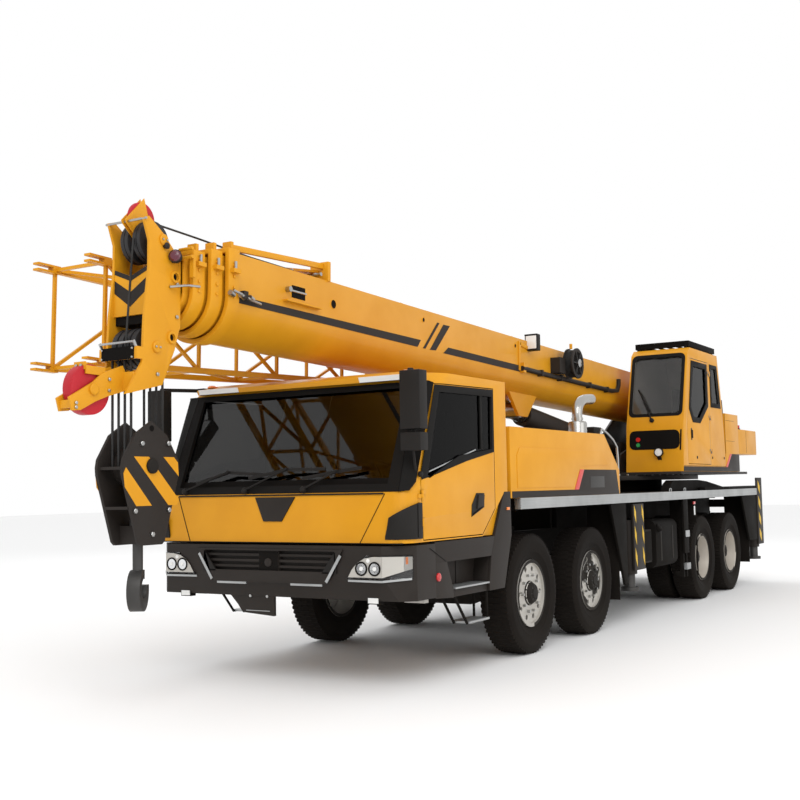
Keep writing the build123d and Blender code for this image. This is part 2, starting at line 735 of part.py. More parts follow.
bumper += block(BUMPER_FRONT - 62, BUMPER_FRONT - 8, -95, 95, BUMPER_BOTTOM + 209, BUMPER_TOP - 39)
tow_step = [(-480, BUMPER_BOTTOM + 20), (-20, BUMPER_BOTTOM + 20), (-20, 525), (-320, 545)]
bumper += plate_yz(tow_step, bumper_back + 5, bumper_back + 35)
for y in (-RAIL_OUTER_Y + 45, RAIL_OUTER_Y - 45):
    bumper += block(RAIL_FRONT + RUNNING_GAP, bumper_back + 10, y - 45, y + 45, RAIL_BOTTOM, RAIL_TOP - 120)
for side in ("left", "right"):
    bumper -= flip(lamp_form(RUNNING_GAP, 30), side)
save("bumper", bumper)
save("head_lamps", lamp_form(0, 8), flip(lamp_form(0, 8), "right"))

mirrors = []
for y in (-1, 1):
    arm = strut((1790, y * 1195, CAB_ROOF + 36), (2150, y * 1330, 2205), 16)
    arm += block(1750, 1806, y * 1150, y * 1220, CAB_ROOF + RUNNING_GAP, CAB_ROOF + 46)
    head = block(2120, 2220, y * 1260, y * 1420, 1960, 2215)
    head += block(2125, 2215, y * 1265, y * 1415, 1800, 1930)
    head += block(2160, 2180, y * 1300, y * 1320, 1929, 1961)
    mirrors.append(arm + head)
save("cab_mirrors", *mirrors)



# Engine hood, engine, exhaust and tanks
def hood_block(inset):
    """The hood's outer form, or its hollow when inset by the wall."""
    outline = Polyline(
        (HOOD_FRONT - inset, HOOD_BOTTOM),
        (HOOD_FRONT - inset, HOOD_TOP - inset),
        (HOOD_TOP_REAR + inset / 2, HOOD_TOP - inset),
        (HOOD_TAIL + inset, HOOD_TAIL_Z),
        (HOOD_TAIL + inset, HOOD_BOTTOM),
        close=True,
    )
    half = HALF_WIDTH - inset
    return extrude(Plane.XZ * make_face(outline), amount=half, both=True)


save("engine_hood", hood_block(0) - hood_block(HOOD_WALL))
engine = block(-1350, 250, -320, 320, 720, 1650)
engine -= block(-760, -640, -400, 400, 700, RAIL_TOP)
for x in (-1150, 50):
    engine += block(x - 60, x + 60, -RAIL_OUTER_Y, RAIL_OUTER_Y, RAIL_TOP + RUNNING_GAP, RAIL_TOP + 60)
save("engine_block", engine)

EXHAUST_X = -1500
EXHAUST_Y = 1050
EXHAUST_RADIUS = 115
PIPE_RADIUS = 55
PIPE_STEPS = ((0, 56), (-20, 80), (-70, 65), (-260, 10))
SILENCER_TOP = HOOD_TOP + 190
silencer = rod_z(EXHAUST_X, EXHAUST_Y, HOOD_TOP + RUNNING_GAP, SILENCER_TOP, EXHAUST_RADIUS)
bends = [Vector(EXHAUST_X, EXHAUST_Y, SILENCER_TOP - 1)]
for step_x, step_z in PIPE_STEPS:
    bends.append(bends[-1] + Vector(step_x, 0, step_z))
pipe_foot = Plane(origin=bends[0], z_dir=(0, 0, 1)) * Circle(PIPE_RADIUS)
silencer += sweep(pipe_foot, path=Polyline(*bends), transition=Transition.RIGHT)
save("exhaust", silencer)

tank = block(-4240, -3440, 560, HALF_WIDTH - 60, 520, 1080)
tank = fillet(tank.edges().filter_by(Axis.X), 90)
hanger = block(-4000, -3960, RAIL_OUTER_Y, 700, BOX_BOTTOM + 40, BOX_BOTTOM + 120)
tank += hanger
save("side_tanks", tank, mirror(tank, about=Plane.XZ))


# Outriggers: a beam and a jack per side, in the box across each end of the chassis
def outrigger_beam(x, side):
    """A sliding beam with the jack's outer tube on its end."""
    direction = 1 if side == "left" else -1
    lane = x + direction * BEAM_BOX_WIDTH / 4
    half = BEAM_BOX_WIDTH / 4 - BEAM_BOX_WALL - BEAM_GAP
    top = BEAM_BOX_BOTTOM + BEAM_BOX_HEIGHT - BEAM_BOX_WALL - BEAM_GAP
    bottom = BEAM_BOX_BOTTOM + BEAM_BOX_WALL + BEAM_GAP
    jack_y = HALF_WIDTH - JACK_RADIUS - JACK_INSET
    beam = block(lane - half, lane + half, -HALF_WIDTH + 250, jack_y, bottom, top)
    if side == "right":
        beam = mirror(beam, about=Plane.XZ)
    tube = rod_z(lane, direction * jack_y, bottom - 60, top + 250, JACK_RADIUS)
    bore = rod_z(lane, direction * jack_y, bottom - 61, top + 230, JACK_ROD_RADIUS + RUNNING_GAP)
    centre, half_length, cover_top = END_COVERS[x]
    near = direction * (HALF_WIDTH - JACK_INSET - 8)
    rear = centre - half_length
    front = centre + half_length
    cover = block(rear, front, near, direction * HALF_WIDTH, BEAM_BOX_BOTTOM, cover_top)
    return beam + tube + cover - bore


def jack(x, side):
    """A jack rod with its round pad."""
    direction = 1 if side == "left" else -1
    lane = x + direction * BEAM_BOX_WIDTH / 4
    jack_y = direction * (HALF_WIDTH - JACK_RADIUS - JACK_INSET)
    top = BEAM_BOX_BOTTOM + BEAM_BOX_HEIGHT + 190
    foot = rod_z(lane, jack_y, PAD_BOTTOM, PAD_BOTTOM + 40, PAD_RADIUS / 2)
    return rod_z(lane, jack_y, PAD_BOTTOM + 39, top, JACK_ROD_RADIUS) + foot


for place_name, x in (("front", OUTRIGGER_FRONT_X), ("rear", OUTRIGGER_REAR_X)):
    for side in ("left", "right"):
        save(f"outrigger_beam_{place_name}_{side}", outrigger_beam(x, side))
        save(f"jack_{place_name}_{side}", jack(x, side))

# Turntable: base plate, cheek plates, counterweight and winches
table_top = TABLE_BOTTOM + TABLE_PLATE
table = rod_z(SLEW_X, 0, TABLE_BOTTOM, table_top, TABLE_RADIUS)
cheek_outline = [
    (-4350, table_top - 1),
    (-4600, 1900),
    (-5900, 2250),
    (FOOT_X + 150, FOOT_Z + 130),
    (FOOT_X - 130, FOOT_Z + 130),
    (FOOT_X - 350, 2350),
    (-8150, 2290),
    (-8150, 1930),
    (-7000, 1640),
    (-6400, table_top - 1),
]
cheek = plate_xz(cheek_outline, CHEEK_INNER, CHEEK_INNER + CHEEK_THICK)
cheek -= rod_y(FOOT_X, 200, 600, FOOT_Z, FOOT_PIN_RADIUS + RUNNING_GAP)
table += both_sides(cheek)
table += block(-7040, -6960, -CHEEK_INNER - 5, CHEEK_INNER + 5, 1700, 2150)
for y in (-1, 1):
    lug = plate_xz(
        [
            (-5400, table_top - 1),
            (-5000, table_top - 1),
            (-5100, LUFF_BASE_Z + 90),
            (-5300, LUFF_BASE_Z + 90),
        ],
        y * 170 - 20,
        y * 170 + 20,
    )
    table += lug
table -= rod_y(LUFF_BASE_X, -300, 300, LUFF_BASE_Z, LUFF_PIN_RADIUS + RUNNING_GAP)
table += block(-7600, -4380, CHEEK_INNER + 10, CC_LEFT - 20, 1560 + 65, CC_FLOOR - RUNNING_GAP)
cover = block(-7100, CC_REAR - 101, 800, HALF_WIDTH, CC_FLOOR, 2480)
save("slewing_frame", table, cover)

weight = block(-8220, -7150, -HALF_WIDTH + 20, HALF_WIDTH - 20, 1920, 2285)
cheek_out = CHEEK_INNER + CHEEK_THICK + RUNNING_GAP
weight -= block(-8160, -7149, -cheek_out, cheek_out, 1919, 2300)
save("counterweight", weight)

winch_pieces = []
for x in (-7350, -7800):
    drum = rod_y(x, -CHEEK_INNER + RUNNING_GAP, CHEEK_INNER - RUNNING_GAP, 2130, 130)
    for y in (-300, 300):
        drum += rod_y(x, y - 10, y + 10, 2130, 200)
    winch_pieces.append(drum)
save("winches", *winch_pieces)


# Crane cab
def crane_cab_block(inset):
    """The crane cab's outer form, or its inner form when inset."""
    outline = Polyline(
        (CC_REAR - 100, CC_FLOOR),
        (CC_FRONT, CC_FLOOR),
        (CC_FRONT - 60, 2250),
        (-4760, 3190),
        (-4860, CC_ROOF),
        (-6120, CC_ROOF),
        (CC_REAR, 2480),
        close=True,
    )
    face = make_face(outline)
    if inset:
        face = offset(face, amount=-inset, kind=Kind.INTERSECTION)
    solid = extrude(Plane.XZ * face, amount=(CC_LEFT - CC_RIGHT) / 2 - inset, both=True)
    return Pos(0, (CC_LEFT + CC_RIGHT) / 2, 0) * solid


CC_DOOR = [
    (-5650, 1750),
    (-4640, 1750),
    (-4640, 2250),
    (-4860, 3130),
    (-5650, 3130),
]
CC_DOOR_WINDOW = [
    (-5560, 2560),
    (-5200, 2330),
    (-4900, 2330),
    (-4760, 2480),
    (-4910, 3060),
    (-5560, 3060),
]
CC_REAR_WINDOW = [
    (-6180, 2560),
    (-5760, 2560),
    (-5760, 3090),
    (-6060, 3090),
]
crane_cab = crane_cab_block(0) - crane_cab_block(CC_WALL)
front_cut = plate_xz(
    [(-4700, 2400), (-4300, 2400), (-4600, 3150), (-5000, 3150)],
    CC_RIGHT + 60,
    CC_LEFT - 60,
)
low_cut = block(-4800, -4300, CC_RIGHT + 90, CC_LEFT - 90, 2000, 2240)
crane_cab -= front_cut
crane_cab -= low_cut
crane_cab -= plate_xz(CC_DOOR, CC_LEFT - 150, CC_LEFT + 10)
crane_cab -= plate_xz(CC_REAR_WINDOW, CC_LEFT - 150, CC_LEFT + 10)
ROOF_GUARD_X = (-6050, -4900)
ROOF_GUARD_Z = 3360
ROOF_GUARD_SLAT = 40
guard_inset = 60
for x in ROOF_GUARD_X:
    slat_right = CC_RIGHT + guard_inset
    slat_left = CC_LEFT - guard_inset
    crane_cab += block(x - 20, x + 20, slat_right, slat_left, ROOF_GUARD_Z - 25, ROOF_GUARD_Z)
    for y in (CC_RIGHT + guard_inset, CC_LEFT - guard_inset):
        crane_cab += block(x - 19, x + 19, y - 19, y + 19, CC_ROOF - 5, ROOF_GUARD_Z)
slat_count = 6
for n in range(slat_count):
    y = CC_RIGHT + guard_inset + (CC_LEFT - CC_RIGHT - 2 * guard_inset) * n / (slat_count - 1)
    half = ROOF_GUARD_SLAT / 2
    crane_cab += block(*ROOF_GUARD_X, y - half, y + half, ROOF_GUARD_Z - 20, ROOF_GUARD_Z - 5)
CC_HINGE_X = CC_DOOR[0][0] - 15
CC_HINGE_HEIGHTS = (1900, 2350, 2950)
for z in CC_HINGE_HEIGHTS:
    crane_cab += hinge_half(CC_HINGE_X, z, -HINGE_LEAF, -HINGE_LEAF / 2)
save("crane_cab_shell", crane_cab)

face = make_face(Polyline(*[(x, 0, z) for x, z in CC_DOOR], close=True))
door = extrude(
    Pos(0, CC_LEFT, 0) * offset(face, amount=-DOOR_GAP, kind=Kind.INTERSECTION),
    amount=CC_WALL,
    dir=(0, -1, 0),
)
door -= plate_xz(CC_DOOR_WINDOW, CC_LEFT - 100, CC_LEFT + 10)
for z in CC_HINGE_HEIGHTS:
    door += hinge_half(CC_HINGE_X, z + HINGE_HALF + RUNNING_GAP, HINGE_LEAF, HINGE_LEAF / 2 + 5)
save("crane_cab_door", door)


def slanted_pane(low_x, low_z, high_x, high_z, inset):
    """A front pane set in the middle of its slanting wall."""
    front = CC_WALL / 2
    back = front + GLASS
    outline = [
        (low_x - back, low_z + RUNNING_GAP),
        (low_x - front, low_z + RUNNING_GAP),
        (high_x - front, high_z - RUNNING_GAP),
        (high_x - back, high_z - RUNNING_GAP),
    ]
    return plate_xz(outline, CC_RIGHT + inset + RUNNING_GAP, CC_LEFT - inset - RUNNING_GAP)


save("crane_door_glass", pane(CC_DOOR_WINDOW, RUNNING_GAP, CC_LEFT - 15, GLASS))
cc_screen = slanted_pane(-4525, 2400, -4748, 3150, 60)
cc_low = slanted_pane(-4455, 2000, -4479, 2240, 90)
save("crane_cab_glass", cc_screen, cc_low, pane(CC_REAR_WINDOW, RUNNING_GAP, CC_LEFT - 15, GLASS))
cc_seat = block(-5900, -5400, 680, 1080, CC_FLOOR + CC_WALL, CC_FLOOR + 480)
cc_seat += block(-6000, -5850, 680, 1080, CC_FLOOR + 300, CC_FLOOR + 1150)
cc_console = block(-5100, -4850, 640, 1100, CC_FLOOR + CC_WALL, CC_FLOOR + 700)
save("crane_cab_inside", cc_seat, cc_console)


# Boom
def boom_place(shape):
    """Move a piece from the boom's own axes to the front-axle frame."""
    return Pos(FOOT_X, 0, FOOT_Z) * Rot(0, -BOOM_ANGLE, 0) * shape


def boom_profile(x, shrink):
    """The boom's section: flat sides and top over a round belly."""
    half = BASE_WIDTH / 2 - shrink
    top = BASE_BOTTOM + BASE_HEIGHT - shrink
    belly = BASE_BOTTOM + BASE_WIDTH / 2
    line = Polyline((half, belly), (half, top), (-half, top), (-half, belly))
    arc = CenterArc((0, belly), half, 180, 180)
    plane = Plane(origin=(x, 0, 0), x_dir=(0, 1, 0), z_dir=(1, 0, 0))
    return plane * make_face(Wire([*line.edges(), *arc.edges()]))


def boom_tube(x0, x1, shrink):
    """A hollow boom section between two stations."""
    outer = extrude(boom_profile(x0, shrink), amount=x1 - x0, dir=(1, 0, 0))
    inner = extrude(boom_profile(x0, shrink + SECTION_WALL), amount=x1 - x0, dir=(1, 0, 0))
    return outer - inner


def collar(x0, shrink):
    """The stiffening ring at the front of a section."""
    outer = extrude(boom_profile(x0, shrink - COLLAR_PROUD), amount=COLLAR_LENGTH, dir=(1, 0, 0))
    inner = extrude(boom_profile(x0, shrink + SECTION_WALL - 1), amount=COLLAR_LENGTH, dir=(1, 0, 0))
    return outer - inner


STEP_IN = SECTION_WALL + SECTION_GAP
PAD_LENGTH = 90
HEAD_REAR = 10500
sections = []
for n in range(4):
    shrink = n * STEP_IN
    front = BASE_LENGTH + COLLAR_PITCH * n
    back = BOOM_TAIL if n == 0 else 500 + 120 * n
    if n == 3:
        front = HEAD_REAR
    tube = boom_tube(back, front, shrink)
    if n < 3:
        tube += collar(front - COLLAR_LENGTH, shrink)
    if n > 0:
        pad_profile = boom_profile(back, shrink - SECTION_GAP + RUNNING_GAP)
        pad = extrude(pad_profile, amount=PAD_LENGTH, dir=(1, 0, 0))
        tube += pad - extrude(boom_profile(back, shrink + 1), amount=PAD_LENGTH, dir=(1, 0, 0))
    sections.append(tube)

foot = block(BOOM_TAIL, -BOOM_TAIL, -BASE_WIDTH / 2 + 1, BASE_WIDTH / 2 - 1, -120, 120)
base = sections[0] + foot
base += rod_y(0, -CHEEK_INNER - CHEEK_THICK - 20, CHEEK_INNER + CHEEK_THICK + 20, 0, FOOT_PIN_RADIUS)
for y in (-1, 1):
    lug = plate_xz(
        [
            (LUFF_EYE_ALONG - 420, BASE_BOTTOM + 120),
            (LUFF_EYE_ALONG + 420, BASE_BOTTOM + 120),
            (LUFF_EYE_ALONG + 110, LUFF_EYE_DROP - 80),
            (LUFF_EYE_ALONG - 110, LUFF_EYE_DROP - 80),
        ],
        y * 160 - 20,
        y * 160 + 20,
    )
    base += lug
inner_clear = extrude(boom_profile(-1000, SECTION_WALL), amount=20000, dir=(1, 0, 0))
base -= inner_clear - block(-1000, 420, -1000, 1000, -1000, 1000)
save("boom_base", boom_place(base))
save("boom_section_2", boom_place(sections[1]))
save("boom_section_3", boom_place(sections[2]))

HEAD_HALF = 175
HEAD_PLATE = 20
TOP_SHEAVE = (10680, 340)
LOW_SHEAVE = (10730, -414)
NOSE_SHEAVE = (11185, -738)
GUIDE_SHEAVE = (10722, 500)
TOP_SHEAVE_RADIUS = 145
LOW_SHEAVE_RADIUS = 140
NOSE_SHEAVE_RADIUS = 165
GUIDE_SHEAVE_RADIUS = 118
TOP_SHEAVE_ROW = (-75, -38, 38, 75)
LOW_SHEAVE_ROW = (-87, -29, 29, 87)
TOP_SHEAVE_HALF = 16
LOW_SHEAVE_HALF = 21
NOSE_SHEAVE_HALF = 40
AXLE_PIN = 40
NOSE_PIN = 30
GUIDE_PIN = 12
ROPE_RADIUS = 9
JIB_BORES = ((10560, 100), (10585, -330))
JIB_BORE_RADIUS = 25
HEAD_OUTLINE = [
    (10505, 20),
    (10510, -270),
    (10551, -412),
    (10668, -669),
    (11008, -759),
    (10860, -529),
    (10848, -198),
    (10812, 130),
    (10815, 314),
    (10872, 462),
    (10820, 480),
    (10670, 380),
    (10540, 260),
]
FACE_X = 10793
FACE_THICK = 15
# the face plate between the cheeks: half width, V top at the sides and in the middle, foot
FACE_SIDE_TOP = 140
FACE_MIDDLE_TOP = 84
FACE_BOTTOM = -190
LOAD_BOX_X = 10895
LOAD_BOX_Z = (-510, -428)
CHEEK = HEAD_HALF - HEAD_PLATE
head = sections[3]
for y in (-1, 1):
    middle = y * (HEAD_HALF - HEAD_PLATE / 2)
    head += plate_xz(HEAD_OUTLINE, middle - HEAD_PLATE / 2, middle + HEAD_PLATE / 2)
    ear = sorted((y * CHEEK, y * HEAD_HALF))
    head += block(10850, LOAD_BOX_X + 1, *ear, *LOAD_BOX_Z)
head += block(HEAD_REAR, HEAD_REAR + 25, -HEAD_HALF, HEAD_HALF, -260, 240)
face_outline = [
    (-CHEEK - 1, FACE_SIDE_TOP),
    (0, FACE_MIDDLE_TOP),
    (CHEEK + 1, FACE_SIDE_TOP),
    (CHEEK + 1, FACE_BOTTOM),
    (-CHEEK - 1, FACE_BOTTOM),
]
head += plate_yz(face_outline, FACE_X, FACE_X + FACE_THICK)
head += block(LOAD_BOX_X, LOAD_BOX_X + 20, -HEAD_HALF, HEAD_HALF, *LOAD_BOX_Z)
# Guard plates of the guide sheave, between the middle top sheaves
GUIDE_HALF = 16
GUARD_THICK = 4
GUARD_OUTLINE = [(10714, 650), (10892, 462), (10880, 440), (10735, 320), (10630, 320), (10630, 400)]
for y in (-GUIDE_HALF - GUARD_THICK - RUNNING_GAP, GUIDE_HALF + RUNNING_GAP):
    head += plate_xz(GUARD_OUTLINE, y, y + GUARD_THICK)
guide_end = GUIDE_HALF + RUNNING_GAP + GUARD_THICK
head += rod_y(GUIDE_SHEAVE[0], -guide_end, guide_end, GUIDE_SHEAVE[1], GUIDE_PIN)
head += rod_y(10862, -HEAD_HALF + 1, HEAD_HALF - 1, 455, 7)
for x, z in (TOP_SHEAVE, LOW_SHEAVE):
    head += rod_y(x, -HEAD_HALF + 1, HEAD_HALF - 1, z, AXLE_PIN)
nose_outline = [
    (10901, -600),
    (10929, -556),
    (11112, -625),
    (11186, -690),
    NOSE_TIP,
    (11358, -889),
    (11286, -880),
    (11160, -814),
    (11053, -772),
    (10901, -724),
]
NOSE_PLATE_Y = 56
for y in (-NOSE_PLATE_Y, NOSE_PLATE_Y):
    head += plate_xz(nose_outline, y - 8, y + 8)
head += block(10900, 10925, -CHEEK - 1, CHEEK + 1, -725, -600)
head += block(11340, 11358, -NOSE_PLATE_Y, NOSE_PLATE_Y, -870, -818)
head += rod_y(NOSE_SHEAVE[0], -NOSE_PLATE_Y, NOSE_PLATE_Y, NOSE_SHEAVE[1], NOSE_PIN)
for x, z in JIB_BORES:
    head -= rod_y(x, -HEAD_HALF - 5, HEAD_HALF + 5, z, JIB_BORE_RADIUS)
save("boom_section_4", boom_place(head))

# middle, radius, pin radius, half thickness and the row of each kind of sheave
SHEAVES = [
    (TOP_SHEAVE, TOP_SHEAVE_RADIUS, AXLE_PIN, TOP_SHEAVE_HALF, TOP_SHEAVE_ROW),
    (LOW_SHEAVE, LOW_SHEAVE_RADIUS, AXLE_PIN, LOW_SHEAVE_HALF, LOW_SHEAVE_ROW),
    (NOSE_SHEAVE, NOSE_SHEAVE_RADIUS, NOSE_PIN, NOSE_SHEAVE_HALF, (0,)),
    (GUIDE_SHEAVE, GUIDE_SHEAVE_RADIUS, GUIDE_PIN, GUIDE_HALF, (0,)),
]
sheaves = []
for (x, z), radius, pin, half, row in SHEAVES:
    for y in row:
        disc = rod_y(x, y - half, y + half, z, radius)
        sheaves.append(disc - rod_y(x, y - half, y + half, z, pin + RUNNING_GAP))
save("head_sheaves", *[boom_place(s) for s in sheaves])


# Fly jib, stowed beside the boom
def bar(start, end, size):
    """A square bar between two points."""
    a = Vector(*start)
    b = Vector(*end)
    plane = Plane(origin=a, z_dir=b - a)
    return extrude(plane * Rectangle(size, size), amount=(b - a).length)


JIB_FRONT = 10640
JIB_REAR = 3600
JIB_BAYS = 7
# right y, left y, low z, high z of the lattice's foot and of its tip
JIB_FOOT = (-950, -420, -472, 266)
JIB_TIP = (-700, -440, -90, 170)
JIB_CHORD = 44
JIB_LACE = 24
FORK_LENGTH = 180
FORK_GAP = 14
FORK_PLATE = 16
FORK_PIN_RADIUS = 16


def jib_corners(n):
    """The four chord points at station n, from the tip to the foot."""
    t = n / JIB_BAYS
    right, left, low, high = (tip + (foot - tip) * t for tip, foot in zip(JIB_TIP, JIB_FOOT))
    x = JIB_REAR + (JIB_FRONT - JIB_REAR) * t
    return [(x, right, low), (x, left, low), (x, left, high), (x, right, high)]


jib = None
for start, end in zip(jib_corners(0), jib_corners(JIB_BAYS)):
    chord = bar(start, end, JIB_CHORD)
    jib = chord if jib is None else jib + chord
for n in range(JIB_BAYS + 1):
    ring = jib_corners(n)
    for k in range(4):
        jib += bar(ring[k], ring[(k + 1) % 4], JIB_LACE)
for n in range(JIB_BAYS):
    here = jib_corners(n)
    ahead = jib_corners(n + 1)
    for k in range(4):
        jib += bar(here[k], ahead[(k + 1) % 4], JIB_LACE)
for x, y, z in jib_corners(JIB_BAYS):
    jib += block(x - 30, x + 40, y - 30, y + 30, z - FORK_GAP - 1, z + FORK_GAP + 1)
    for low in (z - FORK_GAP - FORK_PLATE, z + FORK_GAP):
        jib += block(x - 30, x + FORK_LENGTH, y - 30, y + 30, low, low + FORK_PLATE)
    jib -= rod_z(x + FORK_LENGTH - 35, y, z - 50, z + 50, FORK_PIN_RADIUS)
SEAT_X = (5000, 9200)
for x in SEAT_X:
    t = (x - JIB_REAR) / (JIB_FRONT - JIB_REAR)
    y = JIB_TIP[1] + (JIB_FOOT[1] - JIB_TIP[1]) * t
    z = JIB_TIP[3] + (JIB_FOOT[3] - JIB_TIP[3]) * t
    jib += block(x - 30, x + 30, y - 5, -BASE_WIDTH / 2 - RUNNING_GAP, z - 20, z + 20)
save("fly_jib", boom_place(jib))

reel = rod_y(3750, BASE_WIDTH / 2 + RUNNING_GAP, 420, 330, 70) + rod_y(3750, 380, 480, 330, 190)
rail_bar = strut((8500, 150, 520), (9740, 150, 400), 22)
rail_bar += block(8480, 8520, 130, 170, 355.5, 530)
rail_bar += block(9720, 9760, 130, 170, 378, 410)
save("boom_fittings", boom_place(reel), boom_place(rail_bar))

# Luffing cylinder between the turntable and the boom
eye = boom_place(Pos(LUFF_EYE_ALONG, 0, LUFF_EYE_DROP) * Sphere(1)).center()
run = math.hypot(eye.X - LUFF_BASE_X, eye.Z - LUFF_BASE_Z)
LUFF_PITCH = math.degrees(math.atan2(eye.Z - LUFF_BASE_Z, eye.X - LUFF_BASE_X))


def luff_place(shape):
    """Move a piece from the cylinder's own axes to the front-axle frame."""
    return Pos(LUFF_BASE_X, 0, LUFF_BASE_Z) * Rot(0, -LUFF_PITCH, 0) * shape


barrel = rod_x(120, run - 330, 0, 0, BARREL_RADIUS)
barrel += rod_y(0, -150 + RUNNING_GAP, 150 - RUNNING_GAP, 0, 90)
barrel += block(0, 130, -70, 70, -80, 80)
barrel -= rod_x(400, run, 0, 0, ROD_RADIUS + RUNNING_GAP)
barrel += rod_y(0, -191, 191, 0, LUFF_PIN_RADIUS)
piston = rod_x(420, run - 60, 0, 0, ROD_RADIUS)
piston += rod_y(run, -140 + RUNNING_GAP, 140 - RUNNING_GAP, 0, 90)
piston += block(run - 120, run, -70, 70, -80, 80)
save("luff_barrel", luff_place(barrel))
save("luff_rod", luff_place(piston))

# Hook block, hanging upright under the boom's head
hang = boom_place(Pos(LOW_SHEAVE[0], 0, LOW_SHEAVE[1]) * Sphere(1)).center()
BLOCK_BOTTOM = 1168
BLOCK_SHEAVE_Z = 1700
BLOCK_SHEAVE_HALF = 95
BLOCK_PLATE = (105, 130)
# half outline of a side plate: distance from the hook's axis and height
BLOCK_HALF = [(0, 2003), (150, 1912), (258, 1745), (268, 1690), (264, 1640), (125, 1190), (100, BLOCK_BOTTOM)]
FRONT_SHELF = (165, 245, 1676, 1696)
MIDDLE_SHELF = (200, 1410, 1430)
plate_outline = [(hang.X + reach, z) for reach, z in BLOCK_HALF]
plate_outline += [(hang.X - reach, z) for reach, z in reversed(BLOCK_HALF[1:])]
inner_face = BLOCK_PLATE[0] + 1
hook_block = both_sides(plate_xz(plate_outline, *BLOCK_PLATE))
hook_block += rod_y(hang.X, -inner_face, inner_face, BLOCK_SHEAVE_Z, AXLE_PIN)
hook_block += block(hang.X - 60, hang.X + 60, -inner_face, inner_face, BLOCK_BOTTOM + 10, BLOCK_BOTTOM + 130)
near, far, low, high = FRONT_SHELF
hook_block += block(hang.X + near, hang.X + far, -inner_face, inner_face, low, high)
hook_block += block(hang.X - far, hang.X - near, -inner_face, inner_face, low, high)
reach, low, high = MIDDLE_SHELF
hook_block += block(hang.X - reach, hang.X + reach, -inner_face, inner_face, low, high)
hook_block += rod_y(hang.X, -BLOCK_SHEAVE_HALF, BLOCK_SHEAVE_HALF, BLOCK_SHEAVE_Z, LOW_SHEAVE_RADIUS)
SHANK_RADIUS = 35
hook_block -= rod_z(hang.X, 0, BLOCK_BOTTOM, BLOCK_BOTTOM + 140, SHANK_RADIUS + RUNNING_GAP)
save("hook_block", hook_block)

falls = []
FALL_OFFSET = LOW_SHEAVE_RADIUS + ROPE_RADIUS + RUNNING_GAP
for x in (-FALL_OFFSET, FALL_OFFSET):
    for y in LOW_SHEAVE_ROW:
        falls.append(rod_z(hang.X + x, y, BLOCK_SHEAVE_Z, hang.Z, ROPE_RADIUS))
save("hoist_falls", *falls)

# Hook: a bowl of two eccentric circles under its shank, turned edge-on to the front left
HOOK_Z = 860
HOOK_OUTER = 140
HOOK_THROAT = 68
HOOK_TURN = 31.4
hook_arc = Plane.XZ * (Circle(HOOK_OUTER) - Pos(8, 12) * Circle(HOOK_THROAT))
hook = extrude(hook_arc, amount=45, both=True)
hook -= block(-HOOK_OUTER - 10, -12, -60, 60, 30, HOOK_OUTER + 10)
hook += rod_z(0, 0, HOOK_OUTER - 45, BLOCK_BOTTOM + 135 - HOOK_Z, SHANK_RADIUS)
nut_low = BLOCK_BOTTOM + 130 + RUNNING_GAP - HOOK_Z
hook += rod_z(0, 0, nut_low, nut_low + 40, SHANK_RADIUS + 20)
save("hook", Pos(hang.X, 0, HOOK_Z) * Rot(0, 0, HOOK_TURN) * hook)
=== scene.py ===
"""Truck crane: paint, glass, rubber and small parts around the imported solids."""
import json
import logging
import math
from dataclasses import dataclass
from enum import Enum
from typing import Callable, Optional, Sequence

import bmesh
import bpy
from mathutils import Matrix, Vector

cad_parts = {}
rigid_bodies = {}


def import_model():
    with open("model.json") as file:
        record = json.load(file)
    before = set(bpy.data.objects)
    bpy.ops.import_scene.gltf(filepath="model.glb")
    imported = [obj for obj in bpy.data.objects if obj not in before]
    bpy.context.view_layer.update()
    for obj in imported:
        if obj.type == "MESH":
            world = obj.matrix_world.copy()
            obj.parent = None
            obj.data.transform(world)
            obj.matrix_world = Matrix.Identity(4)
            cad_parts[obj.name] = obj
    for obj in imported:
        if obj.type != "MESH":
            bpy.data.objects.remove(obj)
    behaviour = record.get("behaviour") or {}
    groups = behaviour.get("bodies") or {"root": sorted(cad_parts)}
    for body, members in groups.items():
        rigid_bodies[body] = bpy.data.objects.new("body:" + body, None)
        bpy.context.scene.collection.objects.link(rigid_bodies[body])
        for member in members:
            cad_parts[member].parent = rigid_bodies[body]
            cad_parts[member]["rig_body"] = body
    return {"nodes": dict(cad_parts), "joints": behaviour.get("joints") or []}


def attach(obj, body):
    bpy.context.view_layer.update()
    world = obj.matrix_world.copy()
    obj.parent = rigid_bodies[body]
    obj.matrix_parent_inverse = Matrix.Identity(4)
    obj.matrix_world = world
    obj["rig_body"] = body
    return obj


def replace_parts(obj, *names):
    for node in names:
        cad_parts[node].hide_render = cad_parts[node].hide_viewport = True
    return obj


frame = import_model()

LOG = logging.getLogger("truck_crane")
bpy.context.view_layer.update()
Point = Sequence[float]
Colour = tuple[float, float, float]
Rule = Callable[[Vector, Vector], int]


def joint_place(name: str) -> Vector:
    """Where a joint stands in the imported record, in metres."""
    return Vector(next(joint for joint in frame["joints"] if joint["name"] == name)["pos_m"])


AXLE_X = joint_place("steer_1_left").x
BOOM_PITCH = math.radians(1.5)
BOOM_FRAME = Matrix.Translation(joint_place("luff")) @ Matrix.Rotation(-BOOM_PITCH, 4, "Y")
CARRIER_FRAME = Matrix.Translation((AXLE_X, 0, 0))
ALONG_X, ALONG_Y, ALONG_Z = (1, 0, 0), (0, 1, 0), (0, 0, 1)
SIDES = (("left", 1), ("right", -1))
DUST_COLOUR = (0.17, 0.145, 0.115)


